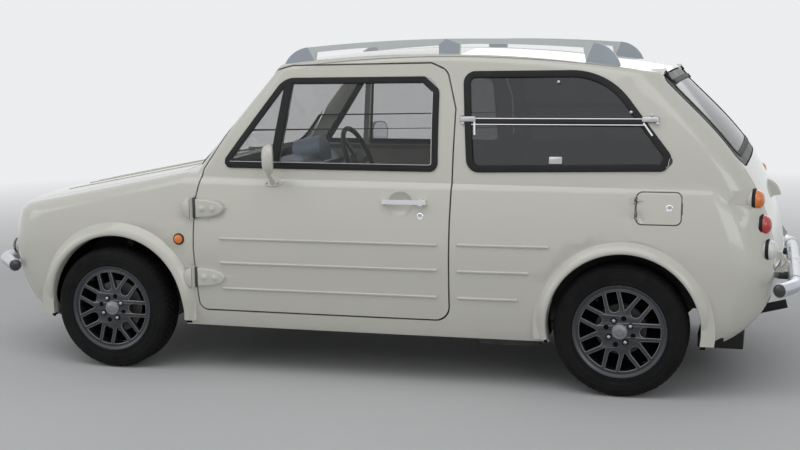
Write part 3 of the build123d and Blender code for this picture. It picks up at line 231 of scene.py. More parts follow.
roadDust = (0.30, 0.27, 0.23)
finishes = {
    # towards the bottom of the body the paint turns darker in patches
    "paint": dict(colour=(0.628, 0.617, 0.547), roughness=0.30, tint=0.008, rough=0.012, bump=0.00002,
                  grain=420, coat=1.0, lowTone=(0.20, 0.16, (0.44, 0.42, 0.36), 0.25)),
    "underbody": dict(colour=(0.035, 0.035, 0.034), roughness=0.8, tint=0.3, bump=0.0012, grain=160,
                      lowTone=(0.05, 0.5, roadDust, 0.35)),
    "castBlack": dict(colour=(0.04, 0.04, 0.042), roughness=0.55, tint=0.25, bump=0.0006, grain=260,
                      lowTone=(0.05, 0.5, roadDust, 0.3)),
    "rubber": dict(colour=(0.010, 0.010, 0.011), roughness=0.60, specular=0.3, tint=0.2, bump=0.0002,
                   grain=700),
    "tyreRubber": dict(colour=(0.0055, 0.0056, 0.006), roughness=0.85, specular=0.25, tint=0.18, rough=0.1,
                       bump=0.0004, grain=420, lowTone=(0.0, 0.04, (0.03, 0.028, 0.025), 0.4)),
    "gunmetal": dict(colour=(0.070, 0.073, 0.080), roughness=0.30, metallic=0.7, tint=0.08, bump=0.00005,
                     grain=500),
    "bumperSilver": dict(colour=(0.56, 0.585, 0.63), roughness=0.30, metallic=0.65, tint=0.03, bump=0.00004,
                         grain=600, coat=0.6),
    "railSilver": dict(colour=(0.55, 0.58, 0.575), roughness=0.38, metallic=0.4, tint=0.03, bump=0.00004,
                       grain=600, coat=0.3),
    "footSilver": dict(colour=(0.36, 0.40, 0.44), roughness=0.38, metallic=0.5, tint=0.04, bump=0.00004,
                       grain=600),
    "chrome": dict(colour=(0.78, 0.785, 0.80), roughness=0.09, metallic=1.0, tint=0.02, rough=0.03),
    "satinSteel": dict(colour=(0.42, 0.42, 0.43), roughness=0.32, metallic=0.9, tint=0.05, bump=0.00008,
                       grain=800),
    "brakeIron": dict(colour=(0.20, 0.19, 0.18), roughness=0.5, metallic=0.7, tint=0.2,
                      waves=("Y", 60, 0.0001)),
    # the exhaust's steel made the darkest of all: painted shade for the shadow under the car that hides it
    "exhaustSteelShaded": dict(colour=(0.016, 0.015, 0.015), roughness=0.7, metallic=0.2, tint=0.25, bump=0.0003,
                         grain=150),
    # rimEdge is a lighter copy of the gunmetal: a painted highlight on the spoke bevels and the cap
    "rimEdge": dict(colour=(0.27, 0.275, 0.285), roughness=0.30, metallic=0.75, tint=0.05, bump=0.00004,
                    grain=500),
    "liner": dict(colour=(0.005, 0.005, 0.005), roughness=0.95, specular=0.1, tint=0.3, bump=0.0008,
                  grain=160),
    "hatchGlass": dict(colour=(0.007, 0.008, 0.009), roughness=0.10, tint=0.05, rough=0.02, alpha=0.94,
                       specular=0.12),
    "lampDark": dict(colour=(0.03, 0.03, 0.032), roughness=0.3, tint=0.05, coat=0.6),
    "trimBlack": dict(colour=(0.012, 0.012, 0.013), roughness=0.45, specular=0.3, tint=0.1, bump=0.00015,
                      grain=900),
    "doorGlass": dict(colour=(0.030, 0.036, 0.035), roughness=0.03, tint=0.05, rough=0.01, alpha=0.22,
                      coat=1.0),
    "darkGlass": dict(colour=(0.014, 0.017, 0.018), roughness=0.03, tint=0.05, rough=0.01, alpha=0.72,
                      coat=1.0),
    "mirrorGlass": dict(colour=(0.75, 0.78, 0.80), roughness=0.02, metallic=1.0, tint=0.01, rough=0.01),
    "lensAmber": dict(colour=(0.85, 0.22, 0.012), roughness=0.14, tint=0.08, rough=0.03, coat=1.0,
                      waves=("Z", 55, 0.0006)),
    "lensRed": dict(colour=(0.55, 0.022, 0.014), roughness=0.14, tint=0.08, rough=0.03, coat=1.0,
                    waves=("Z", 55, 0.0006)),
    "lensClear": dict(colour=(0.80, 0.80, 0.76), roughness=0.10, tint=0.03, rough=0.03, coat=1.0,
                      waves=("Z", 55, 0.0006)),
    "headLens": dict(colour=(0.72, 0.75, 0.77), roughness=0.08, metallic=0.35, tint=0.05, rough=0.03,
                     coat=1.0, waves=("Y", 26, 0.0010)),
    "dashBlue": dict(colour=(0.22, 0.27, 0.33), roughness=0.40, metallic=0.3, tint=0.05, bump=0.00015,
                     grain=700),
    "cabinIvory": dict(colour=(0.56, 0.54, 0.47), roughness=0.5, tint=0.03, bump=0.0002, grain=600),
    "cream": dict(colour=(0.66, 0.65, 0.60), roughness=0.30, tint=0.02, rough=0.05, coat=0.8),
    "cabinBlack": dict(colour=(0.022, 0.022, 0.024), roughness=0.5, tint=0.1, bump=0.00025, grain=600),
    "seatCloth": dict(colour=(0.33, 0.315, 0.285), roughness=0.9, tint=0.12, cloud=90,
                      waves=("DIAGONAL", 180, 0.0005)),
    "floor": dict(colour=studio["floorColour"], roughness=0.85, tint=0.02, cloud=0.6, bump=0.0004, grain=90),
}
looks = {name: finish(name, **settings) for name, settings in finishes.items()}


def fadeFloor(material, settings):
    # past the fade the floor shows the backdrop's own colour, so no horizon is seen
    tree = material.node_tree
    shader = tree.nodes["Principled BSDF"]
    output = next(node for node in tree.nodes if node.type == "OUTPUT_MATERIAL")
    coords = tree.nodes.new("ShaderNodeTexCoord").outputs["Object"]
    distance = tree.nodes.new("ShaderNodeVectorMath")
    distance.operation = "LENGTH"
    tree.links.new(coords, distance.inputs[0])
    far = ranged(tree, distance.outputs["Value"], *settings["floorFade"], 0.0, 1.0)
    glow = tree.nodes.new("ShaderNodeEmission")
    glow.inputs["Color"].default_value = (*settings["backdropColour"], 1)
    share = combined(tree, "MULTIPLY", far, seenRays(tree))
    showMixed(tree, share, shader.outputs[0], glow.outputs[0], output)


fadeFloor(looks["floor"], studio)
print("finishes ready")

# Making pieces


def freshMesh(name, vertices, faces, edges=()):
    mesh = bpy.data.meshes.new(name)
    mesh.from_pydata(vertices, edges, faces)
    mesh.update()
    return mesh


def placed(name, mesh, look=None):
    piece = bpy.data.objects.new(name, mesh)
    if look:
        mesh.materials.clear()
        mesh.materials.append(looks[look])
    collection.objects.link(piece)
    return piece


def smoothByAngle(work, angle):
    for face in work.faces:
        face.smooth = True
    for edge in work.edges:
        edge.smooth = len(edge.link_faces) == 2 and edge.calc_face_angle(0.0) < math.radians(angle)


def meshFrom(work, name, angle=35, outward=False):
    if outward:
        bmesh.ops.remove_doubles(work, verts=work.verts, dist=1e-5)
        bmesh.ops.recalc_face_normals(work, faces=work.faces)
    smoothByAngle(work, angle)
    mesh = bpy.data.meshes.new(name)
    work.to_mesh(mesh)
    work.free()
    return mesh


def withLook(mesh, look):
    mesh.materials.clear()
    mesh.materials.append(looks[look])
    return mesh


def cadCopy(node, angle=35, change=None):
    # the CAD node's triangles, joined up
    source = cadNodes[node].data
    work = bmesh.new()
    corners = [work.verts.new(vertex.co) for vertex in source.vertices]
    for polygon in source.polygons:
        try:
            work.faces.new([corners[index] for index in polygon.vertices])
        except ValueError:      # the same triangle twice
            pass
    bmesh.ops.remove_doubles(work, verts=work.verts, dist=2e-5)
    bmesh.ops.dissolve_degenerate(work, edges=work.edges, dist=1e-6)
    if change:
        change(work)
    return meshFrom(work, node + "Skin", angle)


def evaluatedMesh(carrier):
    # what the carrier's modifiers or curve settings make, as a plain mesh; the carrier goes
    bpy.context.view_layer.update()
    evaluated = carrier.evaluated_get(bpy.context.evaluated_depsgraph_get())
    mesh = bpy.data.meshes.new_from_object(evaluated)
    bpy.data.objects.remove(carrier)
    return mesh


def islands(items, neighbours):
    # groups of items that neighbours() joins, always in the same order
    waiting = dict.fromkeys(items)
    while waiting:
        group, found = [], [waiting.popitem()[0]]
        while found:
            item = found.pop()
            group.append(item)
            for other in neighbours(item):
                if other in waiting:
                    del waiting[other]
                    found.append(other)
        yield group


def fixed(piece, body, slotName, replaced=()):
    # the calls that every finished piece needs
    if replaced:
        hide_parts(*replaced)
    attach(piece, body)
    return piece


def slotOf(node):
    return next(row["material_slot"] for row in frame["record"]["subparts"] if row["node"] == node)


def dressed(node, look, angle=35, change=None):
    # a CAD node's own form with smooth normals and a finish
    piece = placed(node + "Dressed", cadCopy(node, angle, change), look)
    return fixed(piece, bodyOf[node], slotOf(node), (node,))


def treeOf(*nodeNames):
    vertices, faces = [], []
    for node in nodeNames:
        data = cadNodes[node].data
        start = len(vertices)
        vertices += [vertex.co.copy() for vertex in data.vertices]
        faces += [[start + index for index in polygon.vertices] for polygon in data.polygons]
    return BVHTree.FromPolygons(vertices, faces)


def turned(name, rows, centre, axis, look=None, steps=48, angle=35):
    # a turned form from rows of distance along the axis and radius; radius 0 closes it on the axis
    axis = Vector(axis).normalized()
    side = axis.orthogonal().normalized()
    other = axis.cross(side)
    centre = Vector(centre)
    work = bmesh.new()
    rings = []
    for along, radius in rows:
        middle = centre + axis * along
        if radius < 1e-7:
            rings.append([work.verts.new(middle)])
            continue
        turns = [2 * math.pi * step / steps for step in range(steps)]
        rings.append([work.verts.new(middle + (side * math.cos(turn) + other * math.sin(turn)) * radius)
                      for turn in turns])
    for first, second in zip(rings, rings[1:]):
        for step in range(steps):
            following = (step + 1) % steps
            corners = [first[step % len(first)], first[following % len(first)]]
            corners += [second[following % len(second)], second[step % len(second)]]
            corners = list(dict.fromkeys(corners))
            if len(corners) > 2:
                work.faces.new(corners)
    mesh = meshFrom(work, name, angle, outward=True)
    return withLook(mesh, look) if look else mesh


def joinedMesh(name, meshes):
    # several meshes as one; their materials are kept
    work = bmesh.new()
    materials = []
    for mesh in meshes:
        slots = []
        for material in mesh.materials:
            if material not in materials:
                materials.append(material)
            slots.append(materials.index(material))
        start = len(work.faces)
        work.from_mesh(mesh)
        work.faces.ensure_lookup_table()
        for face in work.faces[start:]:
            face.material_index = slots[face.material_index] if slots else 0
    result = bpy.data.meshes.new(name)
    work.to_mesh(result)
    work.free()
    for material in materials:
        result.materials.append(material)
    return result


def loft(name, rings, look, angle=40):
    # a closed form through rings of equal counts
    work = bmesh.new()
    rows = [[work.verts.new(point) for point in ring] for ring in rings]
    work.faces.new(rows[0])
    work.faces.new(list(reversed(rows[-1])))
    for first, second in zip(rows, rows[1:]):
        for index in range(len(first)):
            following = (index + 1) % len(first)
            work.faces.new((first[index], first[following], second[following], second[index]))
    return withLook(meshFrom(work, name, angle, outward=True), look)


def tube(name, points, radii, look, sides=24, angle=40):
    points = [Vector(point) for point in points]
    radii = radii if isinstance(radii, (list, tuple)) else [radii] * len(points)
    rings, side = [], None
    for index, point in enumerate(points):
        ahead = (points[min(index + 1, len(points) - 1)] - points[max(index - 1, 0)]).normalized()
        side = ahead.orthogonal() if side is None else side - ahead * side.dot(ahead)
        side.normalize()
        other = ahead.cross(side)
        turns = [2 * math.pi * step / sides for step in range(sides)]
        rings.append([point + (side * math.cos(turn) + other * math.sin(turn)) * radii[index]
                      for turn in turns])
    return loft(name, rings, look, angle)


def bentPath(corners, reach, steps=8):
    # a path that rounds each inner corner
    corners = [Vector(corner) for corner in corners]
    path = [corners[0]]
    for before, corner, after in zip(corners, corners[1:], corners[2:]):
        start = corner + (before - corner).normalized() * reach
        end = corner + (after - corner).normalized() * reach
        for step in range(steps + 1):
            part = step / steps
            path.append(start.lerp(corner, part).lerp(corner.lerp(end, part), part))
    return path + [corners[-1]]


def plate(name, outline, rows, at, look, angle=40):
    # an outline of u, v points raised through rows of inset and height
    rings = [[at(point.x, point.y, height) for point in grown(outline, -inset)] for inset, height in rows]
    return loft(name, rings, look, angle)


def oval(u, v, radiusU, radiusV, steps=32, power=2.0):
    points = []
    for step in range(steps):
        turn = 2 * math.pi * step / steps
        across, up = math.cos(turn), math.sin(turn)
        points.append(Vector((
            u + radiusU * math.copysign(abs(across) ** (2 / power), across),
            v + radiusV * math.copysign(abs(up) ** (2 / power), up),
        )))
    return points


def bothSides(meshes, name):
    meshes = list(meshes)
    return joinedMesh(name, meshes + [mirroredMesh(mesh, name + "Right") for mesh in meshes])


def mirroredMesh(mesh, name):
    # the mesh's mirror image across the centre plane
    work = bmesh.new()
    work.from_mesh(mesh)
    for vertex in work.verts:
        vertex.co.y = -vertex.co.y
    bmesh.ops.reverse_faces(work, faces=work.faces)
    result = bpy.data.meshes.new(name)
    work.to_mesh(result)
    work.free()
    for material in mesh.materials:
        result.materials.append(material)
    return result


def roundedOutline(rows, step=0.02, arcSteps=8):
    # points along a closed outline of u, v and corner radius rows
    points = []
    count = len(rows)
    for index, (u, v, radius) in enumerate(rows):
        corner = Vector((u, v))
        before = (Vector(rows[index - 1][:2]) - corner).normalized()
        after = (Vector(rows[(index + 1) % count][:2]) - corner).normalized()
        half = before.angle(after) / 2
        reach = radius / math.tan(half)
        centre = corner + (before + after).normalized() * (radius / math.sin(half))
        start, end = corner + before * reach - centre, corner + after * reach - centre
        sweep = start.angle_signed(end)
        for part in range(arcSteps + 1):
            points.append(centre + Matrix.Rotation(-sweep * part / arcSteps, 2) @ start)
    dense = []
    for first, second in zip(points, points[1:] + points[:1]):
        runs = max(1, round((second - first).length / step))
        dense += [first.lerp(second, part / runs) for part in range(runs)]
    return dense


def roundedBox(left, right, low, high, radius, step, arcSteps):
    corners = ((left, low), (right, low), (right, high), (left, high))
    return roundedOutline([(*corner, radius) for corner in corners], step, arcSteps)


def grown(points, amount):
    # the closed outline moved outwards by amount
    area = sum(a.x * b.y - b.x * a.y for a, b in zip(points, points[1:] + points[:1]))
    way = 1 if area > 0 else -1
    result = []
    for index, point in enumerate(points):
        along = (points[(index + 1) % len(points)] - points[index - 1]).normalized()
        result.append(point + Vector((along.y, -along.x)) * amount * way)
    return result


def onSkin(tree, points, view, probe=0.0):
    # outline points of u, v laid on a skin along the view's line, which is felt the probe's length
    # outside them: places and outward directions
    origin, axisU, axisV, towards = (Vector(part) for part in view)
    probes = grown(points, probe) if probe else points
    places, outs = [], []
    for point, look in zip(points, probes):
        start = origin + axisU * look.x + axisV * look.y - towards * 3
        hit, normal, _, _ = tree.ray_cast(start, towards)
        if hit is None:
            continue
        if normal.dot(towards) > 0:
            normal = -normal
        depth = (hit - origin).dot(towards)
        places.append(origin + axisU * point.x + axisV * point.y + towards * depth)
        outs.append(normal)
    return places, outs


sideView = ((0, 0, 0), (1, 0, 0), (0, 0, 1), (0, 1, 0))        # from the left
frontView = ((0, 0, 0), (0, 1, 0), (0, 0, 1), (1, 0, 0))
tailHigh, tailLow = (1.228, 1.450), (1.652, 0.960)      # x and z at the hatch's upper and lower edge
tailLean = math.atan2(tailLow[0] - tailHigh[0], tailHigh[1] - tailLow[1])
tailView = (
    (1.462, 0, 1.180),
    (0, 1, 0),
    (-math.sin(tailLean), 0, math.cos(tailLean)),
    (-math.cos(tailLean), 0, -math.sin(tailLean)),
)

# Node trees for what follows a path or repeats


def emptyTree(name, inputs):
    # a geometry tree with a Geometry input, the named inputs and a Geometry output
    tree = bpy.data.node_groups.new(name, "GeometryNodeTree")
    tree.interface.new_socket("Geometry", in_out="INPUT", socket_type="NodeSocketGeometry")
    for label, kind in inputs:
        tree.interface.new_socket(label, in_out="INPUT", socket_type="NodeSocket" + kind)
    tree.interface.new_socket("Geometry", in_out="OUTPUT", socket_type="NodeSocketGeometry")
    return tree, tree.nodes.new("NodeGroupInput"), tree.nodes.new("NodeGroupOutput")


def closeTree(tree, geometry, source, output):
    # every tree ends in Realize Instances and Set Material
    realized = tree.nodes.new("GeometryNodeRealizeInstances")
    material = tree.nodes.new("GeometryNodeSetMaterial")
    tree.links.new(geometry, realized.inputs["Geometry"])
    tree.links.new(realized.outputs[0], material.inputs["Geometry"])
    tree.links.new(source.outputs["Material"], material.inputs["Material"])
    tree.links.new(material.outputs[0], output.inputs["Geometry"])


def directionOf(tree, name):
    # a direction that the tree's points carry
    node = tree.nodes.new("GeometryNodeInputNamedAttribute")
    node.data_type = "FLOAT_VECTOR"
    node.inputs["Name"].default_value = name
    return node.outputs["Attribute"]


def stripTree():
    # a strip with a rounded rectangular section, along points that carry their outward direction
    tree, source, output = emptyTree(
        "strip", (("Width", "Float"), ("Height", "Float"), ("Round", "Float"), ("Material", "Material"))
    )
    curve = tree.nodes.new("GeometryNodeMeshToCurve")
    normal = tree.nodes.new("GeometryNodeSetCurveNormal")
    normal.mode = "FREE"
    section = tree.nodes.new("GeometryNodeCurvePrimitiveQuadrilateral")
    corner = tree.nodes.new("GeometryNodeFilletCurve")
    corner.mode = "POLY"
    corner.inputs["Count"].default_value = 3
    corner.inputs["Limit Radius"].default_value = True
    swept = tree.nodes.new("GeometryNodeCurveToMesh")
    swept.inputs["Fill Caps"].default_value = True
    link = tree.links.new
    link(source.outputs["Geometry"], curve.inputs["Mesh"])
    link(curve.outputs[0], normal.inputs["Curve"])
    link(directionOf(tree, "outward"), normal.inputs["Normal"])
    link(source.outputs["Height"], section.inputs["Width"])
    link(source.outputs["Width"], section.inputs["Height"])
    link(section.outputs[0], corner.inputs["Curve"])
    link(source.outputs["Round"], corner.inputs["Radius"])
    link(normal.outputs[0], swept.inputs["Curve"])
    link(corner.outputs[0], swept.inputs["Profile Curve"])
    closeTree(tree, swept.outputs[0], source, output)
    return tree


def studTree():
    # the same small form at every point, its z axis along the point's outward direction
    tree, source, output = emptyTree(
        "studs", (("Stud", "Object"), ("Size", "Float"), ("Material", "Material"))
    )
    info = tree.nodes.new("GeometryNodeObjectInfo")
    info.inputs["As Instance"].default_value = True
    turn = tree.nodes.new("FunctionNodeAxesToRotation")
    turn.primary_axis = "Z"
    turn.secondary_axis = "X"
    instances = tree.nodes.new("GeometryNodeInstanceOnPoints")
    link = tree.links.new
    link(source.outputs["Stud"], info.inputs["Object"])
    link(directionOf(tree, "outward"), turn.inputs["Primary Axis"])
    link(directionOf(tree, "along"), turn.inputs["Secondary Axis"])
    link(source.outputs["Geometry"], instances.inputs["Points"])
    link(info.outputs["Geometry"], instances.inputs["Instance"])
    link(turn.outputs[0], instances.inputs["Rotation"])
    link(source.outputs["Size"], instances.inputs["Scale"])
    closeTree(tree, instances.outputs[0], source, output)
    return tree


trees = {"strip": stripTree(), "studs": studTree()}


def grownByTree(name, treeName, places, outs, values, look, alongs=None, edges=()):
    # runs a tree on points that carry their outward direction and gives the plain mesh
    mesh = freshMesh(name, places, [], edges)
    for label, directions in (("outward", outs), ("along", alongs)):
        if directions:
            layer = mesh.attributes.new(label, "FLOAT_VECTOR", "POINT")
            layer.data.foreach_set("vector", [part for direction in directions for part in direction])
    carrier = placed(name + "Carrier", mesh)
    modifier = carrier.modifiers.new("tree", "NODES")
    modifier.node_group = trees[treeName]
    inputs = [item for item in trees[treeName].interface.items_tree if item.in_out == "INPUT"]
    sockets = {item.name: item.identifier for item in inputs}
    for label, value in {**values, "Material": looks[look]}.items():
        modifier[sockets[label]] = value
    work = bmesh.new()
    work.from_mesh(evaluatedMesh(carrier))
    for layer in list(work.verts.layers.float_vector):
        work.verts.layers.float_vector.remove(layer)
    bmesh.ops.remove_doubles(work, verts=work.verts, dist=1e-6)
    bmesh.ops.recalc_face_normals(work, faces=work.faces)
    for face in work.faces:
        face.material_index = 0
    return withLook(meshFrom(work, name, 50), look)


def strip(name, places, outs, width, height, look, closed=True, lift=0.0):
    # a moulding that follows the places; lift raises it off the skin
    raised = [place + out * lift for place, out in zip(places, outs)]
    edges = [(index, index + 1) for index in range(len(raised) - 1)]
    if closed:
        edges.append((len(raised) - 1, 0))
    values = {"Width": width, "Height": height, "Round": 0.45 * min(width, height)}
    return grownByTree(name, "strip", raised, outs, values, look, edges=edges)


def studForm(name, rows, steps=24):
    # a small turned form kept out of sight, for the studs tree
    return bpy.data.objects.new(name, turned(name, rows, (0, 0, 0), (0, 0, 1), None, steps, 30))


def studs(name, form, places, outs, look, size=1.0, alongs=None):
    alongs = alongs or [Vector((0, 0, 1)) if abs(out.z) < 0.8 else Vector((1, 0, 0)) for out in outs]
    return grownByTree(name, "studs", places, outs, {"Stud": form, "Size": size}, look, alongs)


print("tools ready")

# Painted panels, doors and lids

skins = {
    "left": treeOf("side_shell_left", "door_left", "front_fenders", "roof_panel", "fuel_flap"),
    "front": treeOf("roof_panel", "cowl", "side_shell_left", "side_shell_right", "bonnet"),
    "tail": treeOf("hatch_frame"),
}
arches = {
    # centre x, z, radius, first and last angle of the flare
    "front": (-1.118, 0.283, 0.332, -7.0, 187.0),
    "rear": (1.162, 0.288, 0.314, -10.0, 190.0),
}
flare = {
    "reach": 0.060,
    "width": {"front": 1.0, "rear": 0.80},      # share of the reach
    "clear": 0.008,         # how far outside its reach the skin is felt
    "skin": (0.6, 0.7535),      # lowest and highest |y| of the skin that it stands on
    "plainBand": (-0.003, 0.0585, 0.7541),      # offsets from the arch and least |y| of the CAD's own band
    "crest": 0.7845,
    "rise": 0.034,
    "inside": 0.728,
    "sunk": 0.010,
    "section": (-0.0010, 0.010, 0.0590),        # offsets of its inner edge, its back and its foot
    "steps": 64,
}
tailLampRows = (
    # height, apex x, y, radius, finish
    (0.819, 1.706, 0.660, 0.042, "lensAmber"),
    (0.719, 1.736, 0.668, 0.042, "lensRed"),
    (0.619, 1.762, 0.676, 0.042, "lensClear"),
)
lampHole = {"depth": 0.17, "radius": 0.0440}
under = 0.002       # how far a part of the skin goes down beneath what is laid over it
flapHinge = {"low": (1.178, 0.735), "high": (1.240, 0.838), "felt": (1.172, 0.786)}
hinge = {
    "heights": (0.748, 0.440),
    # first x, last x, half height and where the skin beside it is felt, for the two halves of the CAD's hinge
    "plainHalves": ((-0.745, -0.575, 0.055, -0.560), (-0.800, -0.7449, 0.060, -0.805)),
    # straight edge, reach of the round end, half height there and at the edge, |y|
    "leaf": (-0.7130, 0.131, 0.0400, 0.0405, 0.752),
    "pad": (-0.7250, -0.053, 0.0490, 0.049, 0.7540),
    "gap": (-0.7270, -0.7115, 0.046, 0.042, 0.003),     # x at both edges, half heights, corner radius
    "bolts": (-0.6795, -0.6290),
    "boltLift": 0.0176,
    "boltSize": 1.12,
}


def skinY(x, z):
    # how far the left skin stands from the centre line
    hit = skins["left"].ray_cast(Vector((x, -3, z)), Vector((0, 1, 0)))[0]
    return -hit.y if hit else None


def flareBase(arch, turn):
    # |y| of the skin just outside the flare
    x, z, radius = arches[arch][:3]
    reach = radius + flare["reach"] + flare["clear"]
    level = skinY(x + math.cos(turn) * reach, z + math.sin(turn) * reach)
    lowest, highest = flare["skin"]
    return min(level, highest) if level and level > lowest else None


def withoutFlares(work):
    # the plain bands go down to the skin; rounded flares are laid over them
    firstTurn, lastTurn, pitch = -20, 200, 4
    inner, outer, proud = flare["plainBand"]
    for arch, (x, z, radius, _, _) in arches.items():
        levels = [flareBase(arch, math.radians(turn)) for turn in range(firstTurn, lastTurn + 1, pitch)]
        lowest = min(level for level in levels if level)
        for vertex in work.verts:
            offset = math.hypot(vertex.co.x - x, vertex.co.z - z) - radius
            if inner < offset < outer and abs(vertex.co.y) > proud:
                turn = math.degrees(math.atan2(vertex.co.z - z, vertex.co.x - x))
                turn = turn + 360 if turn < -90 else turn
                index = min(max(round((turn - firstTurn) / pitch), 0), len(levels) - 1)
                vertex.co.y = math.copysign((levels[index] or lowest) - under / 2, vertex.co.y)


def withoutLampHoles(work):
    # each hole's wall goes and its edges close with a patch; the lamps sit on it
    for height, apex, y, _, _ in tailLampRows:
        near = {vertex for vertex in work.verts if vertex.co.x > apex - lampHole["depth"]
                and math.hypot(abs(vertex.co.y) - y, vertex.co.z - height) < lampHole["radius"]}
        walls = [face for face in work.faces if all(vertex in near for vertex in face.verts)]
        bmesh.ops.delete(work, geom=walls, context="FACES")
        rims = [edge for edge in work.edges if edge.is_boundary and all(end in near for end in edge.verts)]
        for loop in islands(rims, lambda edge: [other for end in edge.verts for other in end.link_edges]):
            out = sum((edge.link_faces[0].normal for edge in loop), Vector()).normalized()
            patch = bmesh.ops.triangle_fill(work, use_beauty=True, use_dissolve=False, edges=loop)["geom"]
            for face in (part for part in patch if isinstance(part, bmesh.types.BMFace)):
                face.normal_update()
                if face.normal.dot(out) < 0:
                    face.normal_flip()


def pressed(work, low, high, level):
    # outer points between two x, z corners go just under the skin
    for vertex in work.verts:
        x, y, z = vertex.co
        if low[0] < x < high[0] and low[1] < z < high[1] and abs(y) > level + 0.0003:
            vertex.co.y = math.copysign(level - under, y)


def withoutFlapHinge(work):
    pressed(work, flapHinge["low"], flapHinge["high"], skinY(*flapHinge["felt"]))


def withoutDoorHinges(work):
    # plates with bolts are laid over the door hinges' own places
    for height in hinge["heights"]:
        for first, last, half, felt in hinge["plainHalves"]:
            pressed(work, (first, height - half), (last, height + half), skinY(felt, height))


def allOf(*parts):
    def change(work):
        for part in parts:
            part(work)
    return change


shellChange = allOf(withoutFlares, withoutLampHoles, withoutFlapHinge, withoutDoorHinges)
changes = {
    "side_shell_left": shellChange,
    "side_shell_right": shellChange,
    "front_fenders": allOf(withoutFlares, withoutDoorHinges),
    "door_left": withoutDoorHinges,
    "door_right": withoutDoorHinges,
    "fuel_flap": withoutFlapHinge,
}
panels = {
    "paint": ("side_shell_left", "side_shell_right", "front_fenders", "nose_panel", "cowl", "rear_panel",
              "roof_panel", "bonnet", "tailgate", "fuel_flap", "door_left", "door_right"),
    "underbody": ("floor_pan",),
    "trimBlack": ("hatch_frame",),
    "doorGlass": ("door_glass_left", "door_glass_right", "windscreen"),
    "darkGlass": ("quarter_glass",),
    "hatchGlass": ("hatch_glass",),
    "castBlack": ("front_suspension", "rear_axle", "fuel_tank"),
    "satinSteel": ("engine",),
    # the exhaust takes the darkened steel: painted shade
    "exhaustSteelShaded": ("exhaust",),
    "brakeIron": ("knuckle_left", "knuckle_right"),
    "chrome": ("hatch_hinges", "door_handle_left", "door_handle_right", "flap_bars"),
    "dashBlue": ("dashboard",),
    "cabinBlack": ("steering_wheel",),
    "cabinIvory": ("grille",),
}
panelAngle = {"hatch_frame": 30, "steering_wheel": 50, "dashboard": 50}
for look, names in panels.items():
    for node in names:
        dressed(node, look, panelAngle.get(node, 28), changes.get(node))

rails = placed("roofRails", cadCopy("roof_rails", 40), "railSilver")
rails.data.materials.append(looks["footSilver"])
railFeet = ((-0.37, -0.245), (0.345, 0.430), (0.990, 1.13))
for polygon in rails.data.polygons:
    x = polygon.center.x
    polygon.material_index = int(any(low < x < high for low, high in railFeet))
fixed(rails, "body", "rail_silver", ("roof_rails",))
print("panels dressed")

# Arch flares and wheel-arch liners

flareProfile = (
    # offset from the arch, share of the rise, fixed step
    (0.0600, 0.0, -0.004), (0.0592, 0.0, 0.0005), (0.0565, 0.10, 0.0), (0.0500, 0.30, 0.0),
    (0.0410, 0.56, 0.0), (0.0320, 0.77, 0.0), (0.0235, 0.91, 0.0), (0.0160, 0.985, 0.0), (0.0090, 1.0, 0.0),
    (0.0040, 1.0, -0.0015), (0.0010, 1.0, -0.0050), (-0.0008, 1.0, -0.0110), (-0.0010, 1.0, -0.0200),
)


def flareMesh(arch):
    x, z, radius, first, last = arches[arch]
    steps = flare["steps"]
    turns = [math.radians(first + (last - first) * step / steps) for step in range(steps + 1)]
    levels = [flareBase(arch, turn) for turn in turns]
    lowest = min(level for level in levels if level)
    width, inside = flare["width"][arch], flare["inside"]
    rings = []
    for index, turn in enumerate(turns):
        near = [level or lowest for level in levels[max(index - 2, 0):index + 3]]
        level = sum(near) / len(near)
        crest = min(flare["crest"], level + flare["rise"])
        sunk = level - flare["sunk"]
        section = [(offset * width, level + (crest - level) * share + step)
                   for offset, share, step in flareProfile]
        edge, back, foot = flare["section"]
        section += [(edge, inside), (back, inside), (back, sunk), (foot * width, sunk)]
        out = Vector((math.cos(turn), 0, math.sin(turn)))
        rings.append([Vector((x, 0, z)) + out * (radius + offset) - Vector((0, y, 0))
                      for offset, y in section])
    return loft(arch + "Flare", rings, "paint", 45)


linerRows = {
    # out from the arch radius, |y|
    "front": ((0.003, 0.738), (0.030, 0.712), (0.030, 0.445), (0.034, 0.445), (0.034, 0.716), (0.006, 0.742)),
    "rear": ((0.003, 0.738), (0.020, 0.715), (0.020, 0.520), (0.024, 0.520), (0.024, 0.718), (0.006, 0.742)),
}


def linerMesh(arch):
    x, z, radius, first, last = arches[arch]
    spare, steps = 3, 48        # degrees past the flare's ends, rings
    rings = []
    for step in range(steps + 1):
        turn = math.radians(first - spare + (last - first + 2 * spare) * step / steps)
        out = Vector((math.cos(turn), 0, math.sin(turn)))
        rings.append([Vector((x, -y, z)) + out * (radius + offset) for offset, y in linerRows[arch]])
    return loft(arch + "Liner", rings, "liner", 40)


fixed(placed("archFlares", bothSides(map(flareMesh, arches), "archFlares")), "body", "body_paint")
fixed(placed("archLiners", bothSides(map(linerMesh, arches), "archLiners")), "body", "underbody_paint")
print("flares and liners laid")

# Window rubbers

